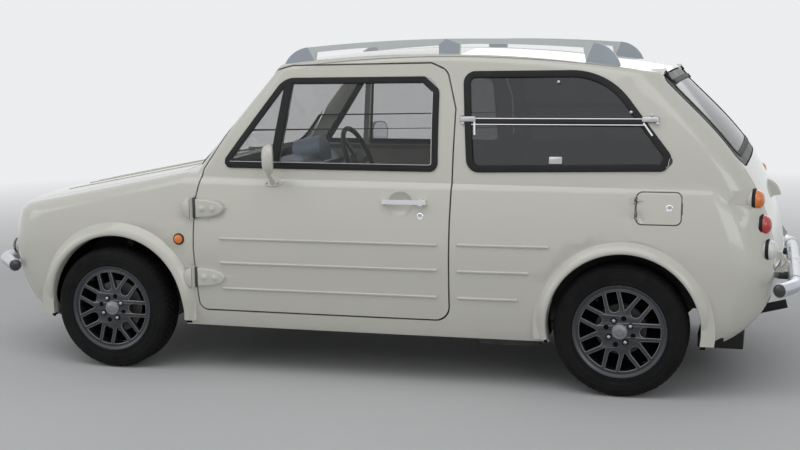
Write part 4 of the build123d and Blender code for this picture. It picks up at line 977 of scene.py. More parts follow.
windows = {
    # corners with their radii, the bright bead's place out from them and its lift, body
    "door": (((-0.612, 0.930, 0.022), (0.371, 0.925, 0.030), (0.361, 1.311, 0.072), (-0.338, 1.307, 0.090)),
             -0.0215, 0.0066, "door_left"),
    "quarter": (((0.510, 0.925, 0.050), (1.379, 0.940, 0.040), (1.072, 1.333, 0.300), (0.476, 1.331, 0.042)),
                0.0010, 0.0036, "body"),
}
rubber = {"width": 0.030, "height": 0.009, "inset": 0.008, "lift": 0.003, "probe": 0.012}
bead = {"width": 0.0034, "height": 0.0030, "probe": 0.0075}
divider = {
    "line": ((-0.363, 0.938), (-0.315, 1.296)),
    "felt": (0.915, 1.325),     # heights where the skin under its foot and over its head is felt
    "near": 0.030,
    "lift": 0.0035,
    "lean": 0.22,
    "width": 0.040,
    "height": 0.010,
    "steps": 12,
}


def dividerMesh():
    foot, head = (Vector(end) for end in divider["line"])
    low, high = (skinY(end.x, height) for end, height in zip((foot, head), divider["felt"]))
    places = []
    for step in range(divider["steps"] + 1):
        point = foot.lerp(head, step / divider["steps"])
        rise = (point.y - foot.y) / (head.y - foot.y)
        level = low + (high - low) * rise
        bar = skinY(point.x, point.y)       # the door's own bar under it
        if bar and abs(bar - level) < divider["near"]:
            level = max(level, bar)
        places.append(Vector((point.x, -level - divider["lift"], point.y)))
    outs = [Vector((0, -1, divider["lean"])).normalized()] * len(places)
    return strip("divider", places, outs, divider["width"], divider["height"], "rubber", closed=False)


sideSeals = {"door_left": [], "body": []}
for window, (rows, beadAt, beadLift, body) in windows.items():
    outline = roundedOutline(rows, 0.016, 12)
    left = skins["left"]
    places, outs = onSkin(left, grown(outline, -rubber["inset"]), sideView, rubber["probe"])
    sideSeals[body].append(strip(window + "Rubber", places, outs, rubber["width"], rubber["height"], "rubber",
                                 lift=rubber["lift"]))
    places, outs = onSkin(left, grown(outline, beadAt), sideView, bead["probe"] - beadAt)
    sideSeals[body].append(strip(window + "Bead", places, outs, bead["width"], bead["height"], "satinSteel",
                                 lift=beadLift))
sideSeals["door_left"].append(dividerMesh())
doorSeals = joinedMesh("doorSeals", sideSeals["door_left"])
fixed(placed("doorLeftSeals", doorSeals), "door_left", "black_trim")
fixed(placed("doorRightSeals", mirroredMesh(doorSeals, "doorRightSeals")), "door_right", "black_trim")
fixed(placed("quarterSeals", bothSides(sideSeals["body"], "quarterSeals")), "body", "black_trim")

screens = {
    # view, skin, half widths below and above, heights below and above, corner radii, width, body
    "windscreen": (frontView, "front", (0.640, 0.548), (0.931, 1.342), (0.050, 0.060), 0.022, "body"),
    "hatch": (tailView, "tail", (0.566, 0.500), (-0.238, 0.163), (0.050, 0.040), 0.024, "hatch"),
}
for screen, (view, skin, halves, (low, high), (lowRadius, highRadius), width, body) in screens.items():
    rows = ((-halves[0], low, lowRadius), (halves[0], low, lowRadius), (halves[1], high, highRadius),
            (-halves[1], high, highRadius))
    places, outs = onSkin(skins[skin], roundedOutline(rows, 0.03), view, 0.010)
    seal = strip(screen + "Rubber", places, outs, width, rubber["height"], "rubber")
    fixed(placed(screen + "Seal", seal), body, "black_trim")
print("rubbers laid")

# Tyres

tyre = {
    "radius": 0.277,
    "width": 0.164,
    "rim": 0.195,
    "bead": 0.178,
    "blocks": 64,
    "grooveDepth": 0.0065,
    "blockFoot": 0.001,     # how far the blocks reach into the carcass
    # each row's middle and width
    "rows": ((-0.052, 0.016), (-0.0265, 0.019), (0.0, 0.021), (0.0265, 0.019), (0.052, 0.016)),
}
wheelPlaces = {
    # x, outer face from the centre line
    "front": (-1.15, 0.764),
    "rear": (1.15, 0.757),
}


def tyreMesh(name, x, faceY):
    # a tyre of the left side: carcass, sidewall rings and tread blocks
    half = tyre["width"] / 2
    middle = -faceY + half
    bead, rimEdge, blocks = tyre["bead"], tyre["rim"], tyre["blocks"]
    groove = tyre["radius"] - tyre["grooveDepth"]
    wall = [
        # in from the face, radius
        (0.012, bead), (0.0125, rimEdge - 0.002), (0.009, rimEdge + 0.001), (0.0045, rimEdge + 0.004),
        (0.0035, rimEdge + 0.0075), (0.0045, rimEdge + 0.009), (0.0022, 0.214), (0.0008, 0.224),
        (0.0004, 0.2255), (0.0010, 0.2268), (0.0004, 0.236), (0.0016, 0.2445), (0.0012, 0.2458),
        (0.0022, 0.247), (0.0060, 0.2585), (0.0115, 0.2655), (0.0195, groove),
    ]
    rows = [(half - inset, radius) for inset, radius in wall]
    rows += [(-offset, radius) for offset, radius in reversed(rows)]
    rows.append(rows[0])
    meshes = [turned(name + "Carcass", rows, (x, middle, tyre["radius"]), (0, -1, 0), "tyreRubber", 96, 60)]
    for number, (offset, width) in enumerate(tyre["rows"]):
        turns = [2 * math.pi * (block + 0.5 * (number % 2)) / blocks for block in range(blocks)]
        outs = [Vector((math.cos(turn), 0, math.sin(turn))) for turn in turns]
        row = Vector((x, middle + offset, tyre["radius"]))
        places = [row + out * (groove - tyre["blockFoot"]) for out in outs]
        form = treadBlock(f"{name}Block{number}", width, offset)
        alongs = [Vector((0, 1, 0))] * len(places)
        meshes.append(studs(f"{name}Blocks{number}", form, places, outs, "tyreRubber", alongs=alongs))
    return joinedMesh(name, meshes)


def treadBlock(name, width, offset):
    # one slightly slanted block, its x across the tread and its z outwards; outer rows drop at the shoulder
    pitch = 2 * math.pi * tyre["radius"] / tyre["blocks"]
    length = pitch * 0.80
    way = 1 if offset >= 0 else -1
    slant = 0.004 * way
    drop = 0.0035 if abs(offset) > 0.04 else 0.0
    top = tyre["grooveDepth"] + tyre["blockFoot"] - 0.0002
    work = bmesh.new()
    corners = []
    for level, inset in ((0.0, 0.0), (top - 0.0012, 0.0004), (top, 0.0016)):
        ring = []
        for across, along in ((-1, -1), (1, -1), (1, 1), (-1, 1)):
            u = across * (width / 2 - inset)
            lower = drop if u * way > 0 and level > 0 else 0.0
            ring.append(work.verts.new((u, along * (length / 2 - inset) + slant * across, level - lower)))
        corners.append(ring)
    for first, second in zip(corners, corners[1:]):
        for index in range(4):
            work.faces.new((first[index], first[(index + 1) % 4], second[(index + 1) % 4], second[index]))
    work.faces.new(corners[-1])
    work.faces.new(list(reversed(corners[0])))
    mesh = meshFrom(work, name, 20, outward=True)
    return bpy.data.objects.new(name, mesh)


def fixedWheels(kind, makeMesh, slotName):
    # a mesh for each axle's left wheel, and its mirror image on the right
    for place, (x, faceY) in wheelPlaces.items():
        left = makeMesh(f"{kind}_{place}", x, faceY)
        for side, mesh in (("left", left), ("right", mirroredMesh(left, f"{kind}_{place}_right"))):
            node = f"{kind}_{place}_{side}"
            fixed(placed(node + "Dressed", mesh), bodyOf[node], slotName, (node,))


fixedWheels("tyre", tyreMesh, "tyre_rubber")
print("tyres done")

# Rims with nuts, caps, valves, and dark discs of painted shade at the nut wells and the empty holes

rim = {
    "faceInset": 0.014,
    "nutCircle": 0.050,
    "nutTurn": 28.5,
    "holeCircle": 0.05715,
    "hubFace": 0.002,
    "discRadius": 0.1765,
    "discDepth": 0.022,
    "discBevel": 0.0022,
    "pairs": 7,
    "slotHalf": 0.0240,
    "slotStart": 0.080,
    "pairHalf": 0.0355,
    "windowReach": 0.1685,
    "windowFoot": (0.009, 0.003),       # out from where the spokes meet, half width
    "dish": (0.085, 0.115),     # radii between which the face falls to the hub
    "valve": (2.2, 0.158, 0.012),       # turn, radius, depth
}
barrelRows = (
    # out from the tyre's face, radius
    (-0.0118, 0.1775), (-0.0116, 0.1930), (-0.0080, 0.1945), (-0.0060, 0.1932), (-0.0060, 0.1905),
    (-0.0090, 0.1850), (-0.0130, 0.1800), (-0.0150, 0.1760), (-0.0340, 0.1740), (-0.0600, 0.1715),
    (-0.1180, 0.1705), (-0.1480, 0.1730), (-0.1500, 0.1775), (-0.0118, 0.1775),
)
lipRows = ((-0.0105, 0.1800), (-0.0062, 0.1880), (-0.0052, 0.1905), (-0.0052, 0.1936), (-0.0068, 0.1950),
           (-0.0090, 0.1940), (-0.0100, 0.1860), (-0.0105, 0.1800))
# a dark disc that closes the rim's barrel behind the spokes: painted shade seen through the windows
shadeDiscRows = ((-0.094, 0.0), (-0.094, 0.1704), (-0.099, 0.1704), (-0.099, 0.0))
centreRows = ((-0.050, 0.0), (-0.050, 0.060), (-0.020, 0.070), (-0.004, 0.072), (-0.004, 0.0))
capRows = ((-0.004, 0.0), (-0.004, 0.0335), (0.004, 0.0335), (0.0075, 0.0310), (0.0090, 0.0250),
           (0.0084, 0.0238), (0.0094, 0.0225), (0.0104, 0.0120), (0.0108, 0.0))
valveRows = ((-0.006, 0.0), (-0.006, 0.005), (0.014, 0.004), (0.014, 0.0032), (0.024, 0.003), (0.024, 0.0))
nutRows = ((0.0, 0.0), (0.0, 0.0105), (0.012, 0.0105), (0.0165, 0.0085), (0.0185, 0.004), (0.0185, 0.0))
# dark discs under each nut and at each empty hole: painted shade in these recesses
wellRows = ((0.0, 0.0), (0.0, 0.0128), (0.0006, 0.0130), (0.0008, 0.0120), (0.0003, 0.0))
pitRows = ((0.0, 0.0), (0.0, 0.0105), (0.0006, 0.0107), (0.0008, 0.0098), (0.0003, 0.0090), (0.0002, 0.0))
hubStuds = {
    # form, circle, turn, lift, finish, size
    "Nuts": (studForm("nutForm", nutRows, 6), rim["nutCircle"], rim["nutTurn"], -0.006, "satinSteel", 0.88),
    # Wells and Pits are dark discs of painted shade
    "Wells": (studForm("wellForm", wellRows), rim["nutCircle"], rim["nutTurn"], 0.0003, "liner", 1.0),
    "Pits": (studForm("pitForm", pitRows), rim["holeCircle"], rim["nutTurn"] + 45, 0.0006, "liner", 1.0),
}


def circled(points, turn):
    across, up = math.cos(turn), math.sin(turn)
    return [(u * across - v * up, u * up + v * across) for u, v in points]


def rimArc(reach, edge, steps):
    # points of a circle from one angle to its opposite
    turns = [edge - 2 * edge * step / steps for step in range(steps + 1)]
    return [(reach * math.cos(turn), reach * math.sin(turn)) for turn in turns]


def spokedDisc(name, hub):
    # a flat curve with the windows as holes, raised and bevelled, then stood up on the wheel
    curve = bpy.data.curves.new(name, "CURVE")
    curve.dimensions = "2D"
    curve.fill_mode = "BOTH"
    curve.extrude = rim["discDepth"] / 2 - rim["discBevel"]
    curve.bevel_depth = rim["discBevel"]
    curve.bevel_resolution = 1
    pitch = 2 * math.pi / rim["pairs"]
    slot, reach, wide = rim["slotHalf"], rim["windowReach"], rim["pairHalf"]
    inner = [(rim["slotStart"] + slot * (1 - math.sin(turn)), slot * math.cos(turn))
             for turn in (0.0, 0.4, 0.8, 1.2, math.pi / 2)]
    inner += [(u, -v) for u, v in reversed(inner[:-1])]
    slotLoop = inner + rimArc(reach, -math.asin(slot / reach), 6)
    apex = wide / math.sin(pitch / 2)
    out, half = rim["windowFoot"]
    windowLoop = [(apex + out, -half), (apex + out, half)]
    windowLoop += rimArc(reach, pitch / 2 - math.asin(wide / reach), 6)
    edge = [math.radians(step * 4) for step in range(90)]
    loops = [[(rim["discRadius"] * math.cos(turn), rim["discRadius"] * math.sin(turn)) for turn in edge]]
    for pair in range(rim["pairs"]):
        loops += [circled(slotLoop, pair * pitch), circled(windowLoop, pair * pitch + pitch / 2)]
    for loop in loops:
        spline = curve.splines.new("POLY")
        spline.points.add(len(loop) - 1)
        for point, (u, v) in zip(spline.points, loop):
            point.co = (u, v, 0, 1)
        spline.use_cyclic_u = True
    carrier = bpy.data.objects.new(name, curve)
    collection.objects.link(carrier)
    work = bmesh.new()
    work.from_mesh(evaluatedMesh(carrier))
    low, high = rim["dish"]
    for vertex in work.verts:
        u, v, height = vertex.co
        dish = rim["hubFace"] * min(max((high - math.hypot(u, v)) / (high - low), 0.0), 1.0)
        vertex.co = hub + Vector((u, -(height - rim["discDepth"] / 2 - dish + rim["hubFace"]), v))
    bmesh.ops.remove_doubles(work, verts=work.verts, dist=1e-6)
    bmesh.ops.recalc_face_normals(work, faces=work.faces)
    for face in work.faces:
        face.material_index = int(0.15 < abs(face.normal.y) < 0.97)     # the bevels take the lighter rimEdge copy: a painted highlight
    mesh = meshFrom(work, name, 28)
    for look in ("gunmetal", "rimEdge"):
        mesh.materials.append(looks[look])
    return mesh


def rimMesh(name, x, faceY):
    face = Vector((x, -faceY, tyre["radius"]))
    hub = face + Vector((0, rim["faceInset"] + rim["hubFace"], 0))
    outward = Vector((0, -1, 0))
    turn, radius, depth = rim["valve"]
    valveAt = hub + Vector((math.cos(turn), 0, math.sin(turn))) * radius - outward * depth
    meshes = [spokedDisc(name + "Disc", hub)]
    for part, rows, place, look, steps in (
        # the dark disc behind the spokes is painted shade
        ("Shield", shadeDiscRows, face, "liner", 48),
        ("Barrel", barrelRows, face, "gunmetal", 96),
        ("Lip", lipRows, face, "gunmetal", 96),
        ("Centre", centreRows, hub, "gunmetal", 64),
        # the cap takes the lighter rimEdge copy all over: a painted highlight
        ("Cap", capRows, hub, "rimEdge", 48),
        ("Valve", valveRows, valveAt, "rubber", 12),
    ):
        meshes.append(turned(name + part, rows, place, outward, look, steps))
    for part, (form, radius, start, lift, look, size) in hubStuds.items():
        turns = [math.radians(start + 90 * quarter) for quarter in range(4)]
        places = [hub + Vector((math.cos(turn), 0, math.sin(turn))) * radius + outward * lift
                  for turn in turns]
        meshes.append(studs(name + part, form, places, [outward] * 4, look, size))
    return joinedMesh(name, meshes)


fixedWheels("rim", rimMesh, "rim_gunmetal")
print("rims done")

# Lamps

tailLamp = {"tilt": 8, "rise": 0.036, "skirt": 0.050, "inward": 0.026, "lift": 0.004}


def tailLampMeshes(height, apex, y, radius, look):
    # a domed lens, its rubber ring and the painted skirt behind it, on both sides
    rise, skirt, domeRadius = tailLamp["rise"], tailLamp["skirt"], radius - 0.002
    domeTurns = [math.pi / 2 * part / 10 for part in range(10)]
    lensRows = [(-0.010, 0.0), (-0.010, domeRadius)]
    lensRows += [(rise * math.sin(turn), domeRadius * math.cos(turn) ** 0.85) for turn in domeTurns]
    lensRows.append((rise, 0.0))
    ringRows = ((-0.014, radius - 0.004), (0.001, radius - 0.003), (0.003, radius - 0.001),
                (0.000, radius + 0.0025), (-0.007, radius + 0.0030), (-0.010, radius + 0.0028),
                (-0.014, radius - 0.004))
    skirtRows = ((-skirt, 0.0), (-skirt, radius - 0.012), (-0.030, radius - 0.004), (-0.014, radius + 0.001),
                 (-0.009, radius + 0.0018), (-0.009, 0.0))
    tilt = math.radians(tailLamp["tilt"])
    meshes = []
    for way in (-1, 1):
        out = Vector((math.cos(tilt), way * math.sin(tilt), 0))
        base = Vector((apex + tailLamp["lift"], way * (y - tailLamp["inward"]), height)) - out * rise
        for rows, finishName in ((lensRows, look), (ringRows, "rubber"), (skirtRows, "paint")):
            meshes.append(turned("tailLampPart", rows, base, out, finishName, 40))
    return meshes


tailMeshes = [mesh for row in tailLampRows for mesh in tailLampMeshes(*row)]
fixed(placed("tailLamps", joinedMesh("tailLamps", tailMeshes)), "body", "lamp_red", ("tail_lamps",))

repeaterAt, repeaterOut = (found[0] for found in onSkin(skins["left"], [Vector((-0.799, 0.608))], sideView))
leftFrontLamps = {
    # centre, way out, steps, and each turned part's rows with its finish
    "head": (
        (-1.722, -0.492, 0.608), (-1, 0, 0), 56,
        (((-0.020, 0.0), (-0.020, 0.070), (0.0, 0.070), (0.008, 0.062), (0.014, 0.045), (0.017, 0.022),
          (0.018, 0.0)),
         "headLens"),
        (((-0.030, 0.069), (0.002, 0.069), (0.008, 0.072), (0.007, 0.0775), (-0.002, 0.0785),
          (-0.030, 0.0785), (-0.030, 0.069)), "chrome"),
    ),
    "turn": (
        (-1.752, -0.548, 0.519), (-1, 0, 0), 36,
        (((-0.006, 0.0), (-0.006, 0.031), (0.001, 0.031), (0.005, 0.027), (0.009, 0.018), (0.0105, 0.0)),
         "lensAmber"),
        (((-0.010, 0.0300), (0.0015, 0.0310), (0.003, 0.0330), (0.000, 0.0375), (-0.012, 0.0380),
          (-0.010, 0.0300)),
         "rubber"),
        (((-0.110, 0.0), (-0.110, 0.026), (-0.070, 0.033), (-0.030, 0.037), (-0.004, 0.0378), (-0.004, 0.0)),
         "paint"),
    ),
    "repeater": (
        repeaterAt, repeaterOut, 36,
        (((-0.002, 0.0), (-0.002, 0.021), (0.006, 0.021), (0.011, 0.018), (0.0145, 0.010), (0.0155, 0.0)),
         "lensAmber"),
        (((-0.002, 0.0205), (0.005, 0.0208), (0.0062, 0.0222), (0.004, 0.0255), (-0.002, 0.0262),
          (-0.002, 0.0205)),
         "rubber"),
    ),
}
frontMeshes = [turned(lamp, rows, centre, out, look, steps)
               for lamp, (centre, out, steps, *parts) in leftFrontLamps.items() for rows, look in parts]
fixed(placed("frontLamps", bothSides(frontMeshes, "frontLamps")), "body", "lamp_clear", ("front_lamps",))
print("lamps done")

# Plates and screws that lie on the side


def onSide(u, v, height):
    return Vector((u, -((skinY(u, v) or 0.745) + height), v))


def flatSide(level):
    return lambda u, v, height: Vector((u, -(level + height), v))


screwRows = ((0.0, 0.0), (0.0, 0.0062), (0.0018, 0.0060), (0.0030, 0.0040), (0.0034, 0.0))
screwForm = studForm("screwForm", screwRows, 16)
leftOut = Vector((0, -1, 0))

# Mirrors: a round-cornered head on a stem and an oval foot with two screws

mirror = {"centre": (-0.345, -0.812, 0.976), "turn": 20, "half": (0.072, 0.0650), "power": 2.7,
          "foot": (-0.360, 0.861), "footHalf": (0.041, 0.015), "screws": 0.027}
mirrorRows = ((-0.0270, 0.30), (-0.0255, 0.52), (-0.0200, 0.76), (-0.0110, 0.91), (0.0, 0.975), (0.0120, 1.0),
              (0.0190, 0.985), (0.0215, 0.955), (0.0215, 0.91), (0.0195, 0.895))


def mirrorMesh():
    turn = math.radians(mirror["turn"])
    centre = Vector(mirror["centre"])
    facing = Vector((math.cos(turn), math.sin(turn), 0))
    across = Vector((math.sin(turn), -math.cos(turn), 0))
    halfWide, halfHigh = mirror["half"]

    def ring(depth, scale):
        points = oval(0, 0, halfWide * scale, halfHigh * scale, 48, mirror["power"])
        return [centre + facing * depth + across * point.x + Vector((0, 0, point.y)) for point in points]

    head = loft("mirrorHead", [ring(depth, scale) for depth, scale in mirrorRows], "paint", 50)
    paneRings = [ring(0.0190, 0.89), ring(0.0203, 0.89), ring(0.0205, 0.88)]
    glass = loft("mirrorPane", paneRings, "mirrorGlass", 40)
    footX, footZ = mirror["foot"]
    foot = plate("mirrorFoot", oval(footX, footZ, *mirror["footHalf"], 40),
                 ((0.0, -0.006), (0.0, 0.004), (0.0015, 0.0070), (0.0040, 0.0085)), onSide, "paint")
    stemFoot = Vector((footX, -(skinY(footX, footZ) + 0.006), footZ + 0.001))
    stem = tube("mirrorStem", [stemFoot, stemFoot + Vector((0.002, -0.026, 0.020)), (-0.350, -0.797, 0.905),
                               (-0.347, -0.806, 0.935)], [0.0125, 0.0095, 0.0090, 0.0120], "paint", 20)
    spots = [onSide(footX + side * mirror["screws"], footZ, 0.0085) for side in (-1, 1)]
    screws = studs("mirrorScrews", screwForm, spots, [leftOut] * 2, "satinSteel")
    return joinedMesh("mirrorMesh", [head, glass, stem, foot, screws])


leftMirror = mirrorMesh()
rightMirror = mirroredMesh(leftMirror, "mirrorRight")
fixed(placed("mirrorLeft", leftMirror), "door_left", "body_paint", ("mirror_left",))
fixed(placed("mirrorRight", rightMirror), "door_right", "body_paint", ("mirror_right",))
print("mirrors done")

# Bumpers

bumpers = {
    # face way, tube x, height, bend |y|, end x, end |y|, bracket |y|
    "front": (-1, 1.838, 0.453, 0.530, 1.664, 0.716, 0.33),
    "rear": (1, 1.838, 0.466, 0.595, 1.775, 0.712, 0.33),
}
bumperTube = {
    "radius": 0.0290,
    "cuff": 0.0305,
    "band": 0.0308,
    "sleeve": 0.0318,
    "bend": 0.070,
    "seamIn": 0.090,        # from the bend towards the middle
    "armEnd": 1.700,
    "armDrop": 0.004,
}
plugRows = ((-0.006, 0.0), (-0.006, 0.020), (-0.002, 0.0265), (0.004, 0.0285), (0.020, 0.0285), (0.020, 0.0))


def bumperMesh(name, way, x, height, bendY, endX, endY, bracketY):
    corners = [(way * endX, -endY, height), (way * x, -bendY, height), (way * x, bendY, height),
               (way * endX, endY, height)]
    path = bentPath(corners, bumperTube["bend"], 12)
    radius, cuff, band, sleeve = (bumperTube[key] for key in ("radius", "cuff", "band", "sleeve"))
    snug = radius + 0.0001
    meshes = [tube(name + "Tube", path, radius, "bumperSilver", 32)]
    for side in (-1, 1):
        end = Vector((way * endX, side * endY, height))
        inward = (Vector((way * x, side * bendY, height)) - end).normalized()
        meshes.append(turned(name + "Plug", plugRows, end, inward, "lampDark", 32))
        lip = [end + inward * along for along in (-0.001, 0.0, 0.012, 0.0125)]
        radii = [snug + 0.0001, cuff, cuff, snug + 0.0001]
        meshes.append(tube(name + "Cuff", lip, radii, "bumperSilver", 32))
        seam = [Vector((way * x, side * (bendY - bumperTube["seamIn"] + along), height))
                for along in (-0.0005, 0.0, 0.010, 0.0105)]
        meshes.append(tube(name + "Seam", seam, [snug, band, band, snug], "footSilver", 32))
        arm = [Vector((way * depth, side * bracketY, height - bumperTube["armDrop"]))
               for depth in (x - 0.020, x - 0.060, bumperTube["armEnd"])]
        meshes.append(tube(name + "Arm", arm, [0.017, 0.016, 0.020], "castBlack", 16))
    middle = [(way * x, along, height) for along in (-0.072, -0.070, 0.070, 0.072)]
    meshes.append(tube(name + "Sleeve", middle, [snug, sleeve, sleeve, snug], "bumperSilver", 32))
    return joinedMesh(name, meshes)


for end, rows in bumpers.items():
    bumper = placed(end + "Bumper", bumperMesh(end + "Bumper", *rows))
    fixed(bumper, "body", "bumper_silver", (end + "_bumper",))
print("bumpers done")

# Door hinges and locks

leafRows = ((0.0, -0.010), (0.0, 0.011), (0.0010, 0.0145), (0.0030, 0.0168), (0.0055, 0.0178),
            (0.0080, 0.0182))
padRows = ((0.0, -0.012), (0.0, 0.006), (0.0015, 0.0150), (0.0040, 0.0215), (0.0070, 0.0255),
           (0.0100, 0.0275))
gapRows = ((0.0, -0.008), (0.0, 0.0100), (0.001, 0.0105))
boltRows = ((0.0, 0.0), (0.0, 0.0155), (0.0022, 0.0155), (0.0030, 0.0140), (0.0032, 0.0100), (0.0065, 0.0088),
            (0.0088, 0.0050), (0.0092, 0.0))
keyRows = ((-0.004, 0.0), (-0.004, 0.0145), (0.002, 0.0145), (0.0032, 0.0125), (0.0024, 0.0105),
           (0.0028, 0.0))
boltForm = studForm("boltForm", boltRows, 28)
keys = {
    # x, height, half width and half height of the slit
    "door": (0.312, 0.734, 0.0012, 0.0055),
    "flap": (1.342, 0.787, 0.0055, 0.0012),
}


def halfOval(height, edge, reach, half, corner):
    # a straight edge with a blunt round end that reaches away from it
    way = math.copysign(1, reach)
    points = [Vector((edge, height + way * up)) for up in (corner, 0, -corner)]
    for step in range(-17, 18):
        turn = math.radians(step * 5)
        points.append(Vector((edge + reach * math.cos(turn) ** 0.75, height + way * half * math.sin(turn))))
    return points


def keyHole(name, x, z, slitHalfX, slitHalfZ):
    lock = turned(name, keyRows, onSide(x, z, 0.0), leftOut, "chrome", 28)
    slitOutline = oval(x, z, slitHalfX, slitHalfZ, 12)
    return [lock, plate(name + "Slit", slitOutline, ((0.0, 0.0022), (0.0, 0.0032)), onSide, "rubber")]


doorMeshes, bodyHinges = [], []
for height in hinge["heights"]:
    *leaf, leafLevel = hinge["leaf"]
    *pad, padLevel = hinge["pad"]
    leafFace, padFace = flatSide(leafLevel), flatSide(padLevel)
    doorMeshes.append(plate("hingeLeaf", halfOval(height, *leaf), leafRows, leafFace, "paint", 50))
    spots = [leafFace(x, height, hinge["boltLift"]) for x in hinge["bolts"]]
    doorMeshes.append(studs("hingeBolts", boltForm, spots, [leftOut] * 2, "cream", size=hinge["boltSize"]))
    bodyHinges.append(plate("hingePad", halfOval(height, *pad), padRows, padFace, "paint", 50))
    back, front, backHalf, frontHalf, radius = hinge["gap"]
    slot = roundedOutline(((back, height - backHalf, radius), (front, height - frontHalf, radius),
                           (front, height + frontHalf, radius), (back, height + backHalf, radius)), 0.02, 3)
    bodyHinges.append(plate("hingeGap", slot, gapRows, padFace, "lampDark"))
doorBits = joinedMesh("doorBits", doorMeshes + keyHole("doorLock", *keys["door"]))
fixed(placed("doorBitsLeft", doorBits), "door_left", "body_paint")
fixed(placed("doorBitsRight", mirroredMesh(doorBits, "doorBitsRight")), "door_right", "body_paint")
fixed(placed("hingePads", bothSides(bodyHinges, "hingePads")), "body", "body_paint")

# The fuel flap's seam

flap = {"box": (1.2105, 1.3880, 0.7235, 0.8485), "radius": 0.026, "shutGap": 0.004, "seam": (0.0042, 0.0016)}
flapOutline = roundedBox(*flap["box"], flap["radius"], 0.014, 8)
seamPlaces, seamOuts = onSkin(skins["left"], grown(flapOutline, flap["shutGap"]), sideView)
flapSeam = strip("flapSeam", seamPlaces, seamOuts, *flap["seam"], "lampDark")
fixed(placed("flapSeam", flapSeam), "body", "body_paint")

# Strakes pressed into the door and the quarter

strakes = {
    # start x, end x, height
    "door_left": ((-0.604, 0.389, 0.617), (-0.604, 0.389, 0.509), (-0.598, 0.384, 0.393)),
    "body": ((0.4715, 0.861, 0.620), (0.4715, 0.778, 0.508), (0.4715, 0.729, 0.392)),
}
strakeRows = ((0.0, -0.006), (0.0, -0.0005), (0.0016, 0.0026), (0.0036, 0.0042), (0.0054, 0.0046))
strakeHalf = 0.0062


def strakeMesh(start, end, height):
    outline = roundedBox(start, end, height - strakeHalf, height + strakeHalf, 0.006, 0.05, 5)
    middle = skinY((start + end) / 2, height)

    def onLine(u, v, up):
        # every point takes the skin's level on the strake's middle line
        return Vector((u, -((skinY(u, height) or middle) + up), v))

    return plate("strake", outline, strakeRows, onLine, "paint", 60)


for body, rows in strakes.items():
    left = joinedMesh(body + "Strakes", [strakeMesh(*row) for row in rows])
    if body == "body":
        fixed(placed("quarterStrakes", bothSides([left], "quarterStrakes")), "body", "body_paint")
    else:
        fixed(placed("doorStrakesLeft", left), "door_left", "body_paint")
        fixed(placed("doorStrakesRight", mirroredMesh(left, "doorStrakesRight")), "door_right", "body_paint")

flapLock = joinedMesh("flapLock", keyHole("flapLock", *keys["flap"]))
fixed(placed("flapLock", flapLock), "fuel_flap", "chrome")

# The quarter flap's brackets, straps, bright lines and catches

pane = {"low": (0.930, 0.700), "high": (1.330, 0.606)}      # height and |y| of the quarter glass
paneOut = Vector((0, -1, 0.235)).normalized()
paneBars = (
    # start, end, width, height, finish, lift
    ((0.500, 1.1175), (1.240, 1.1175), 0.0045, 0.004, "chrome", 0.010),
    ((0.500, 1.1420), (1.240, 1.1420), 0.0045, 0.004, "chrome", 0.010),
    ((0.500, 1.1300), (1.240, 1.1300), 0.0210, 0.006, "trimBlack", 0.006),
    ((0.528, 1.136), (0.531, 1.074), 0.008, 0.004, "chrome", 0.010),
    ((1.229, 1.126), (1.266, 1.075), 0.008, 0.004, "chrome", 0.010),
)
bracketRows = ((0.0, -0.002), (0.0, 0.011), (0.0015, 0.0135), (0.004, 0.0145))
catchRows = ((0.0, 0.001), (0.0, 0.008), (0.0015, 0.0095))
stemRows = ((0.0, 0.001), (0.0, 0.007), (0.001, 0.008))
panePlates = (
    # left, right, low, high, corner radius, corner steps, rows, finish
    (0.466, 0.534, 1.128, 1.152, 0.006, 6, bracketRows, "satinSteel"),
    (1.222, 1.290, 1.129, 1.153, 0.006, 6, bracketRows, "satinSteel"),
    (0.849, 0.904, 0.958, 0.988, 0.004, 4, catchRows, "satinSteel"),
    (0.869, 0.884, 0.926, 0.960, 0.003, 3, stemRows, "trimBlack"),
)
paneScrews = {
    # height over the glass: places
    0.0145: ((0.478, 1.158), (0.479, 1.122), (1.262, 1.158), (1.286, 1.124)),
    0.004: ((0.876, 1.292), (1.177, 1.169)),
}


def onPane(u, v, height):
    (lowV, lowY), (highV, highY) = pane["low"], pane["high"]
    level = lowY + (highY - lowY) * (v - lowV) / (highV - lowV)
    return Vector((u, -(level + height), v))


def paneBar(start, end, width, height, look, lift):
    first, last = Vector(start), Vector(end)
    points = [first.lerp(last, step / 6) for step in range(7)]
    places = [onPane(point.x, point.y, lift) for point in points]
    return strip("flapBar", places, [paneOut] * len(places), width, height, look, closed=False)


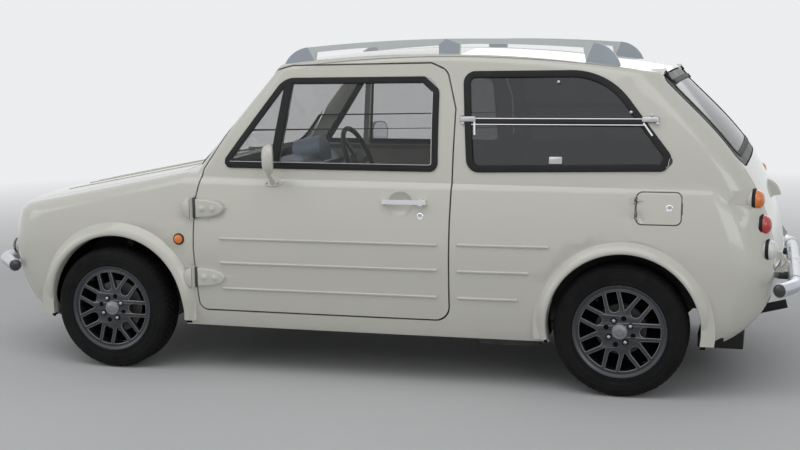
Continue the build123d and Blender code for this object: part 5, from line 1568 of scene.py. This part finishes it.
flapHardware = [paneBar(*bar) for bar in paneBars]
for left, right, low, high, radius, arcSteps, rows, look in panePlates:
    outline = roundedBox(left, right, low, high, radius, 0.012, arcSteps)
    flapHardware.append(plate("flapPlate", outline, rows, onPane, look))
spots = [onPane(x, z, height) for height, places in paneScrews.items() for x, z in places]
flapHardware.append(studs("flapScrews", screwForm, spots, [paneOut] * len(spots), "satinSteel"))
fixed(placed("quarterFlapHardware", bothSides(flapHardware, "quarterFlapHardware")), "body", "chrome")
print("side fittings done")

# Seats

seat = {"voxel": 0.014, "crown": 0.012, "channel": 0.006, "spacing": 0.085, "sharpness": 7.0, "sewn": 0.78,
        "inset": 0.006}


def seatMesh(node):
    # each pad of a seat node: remeshed, shrunk a little, crowned, with sewn channels across it
    rough = placed(node + "Rough", cadCopy(node, 60))
    remesh = rough.modifiers.new("remesh", "REMESH")
    remesh.mode = "VOXEL"
    remesh.voxel_size = seat["voxel"]
    soft = rough.modifiers.new("soft", "SMOOTH")
    soft.factor = 0.5
    soft.iterations = 6
    work = bmesh.new()
    work.from_mesh(evaluatedMesh(rough))
    for pad in islands(work.verts, lambda vertex: [edge.other_vert(vertex) for edge in vertex.link_edges]):
        low = Vector([min(vertex.co[axis] for vertex in pad) for axis in range(3)])
        high = Vector([max(vertex.co[axis] for vertex in pad) for axis in range(3)])
        middle, half = (low + high) / 2, (high - low) / 2
        upright = half.z > half.x       # a back, not a cushion
        for vertex in pad:
            u, v, w = ((vertex.co[axis] - middle[axis]) / half[axis] for axis in range(3))
            crown = max(0.0, 1 - abs(v) ** 4) * max(0.0, 1 - (abs(w) if upright else abs(u)) ** 4)
            along = (vertex.co.z if upright else vertex.co.x) / seat["spacing"]
            groove = math.exp(-((along - round(along)) * seat["sharpness"]) ** 2) * (abs(v) < seat["sewn"])
            vertex.co += vertex.normal * (seat["crown"] * crown - seat["inset"] - seat["channel"] * groove)
    return withLook(meshFrom(work, node + "Pads", 80, outward=True), "seatCloth")


for node in ("seat_cushions", "seat_backs"):
    pads = placed(node + "Pads", seatMesh(node))
    fixed(pads, "body", "seat_cloth", (node,))
print("seats done")

# Floor

floorReach = 40
corners = [(x * floorReach, y * floorReach, 0) for x, y in ((-1, -1), (1, -1), (1, 1), (-1, 1))]
floor = placed("floor", freshMesh("floor", corners, [(0, 1, 2, 3)]), "floor")

bpy.context.view_layer.update()
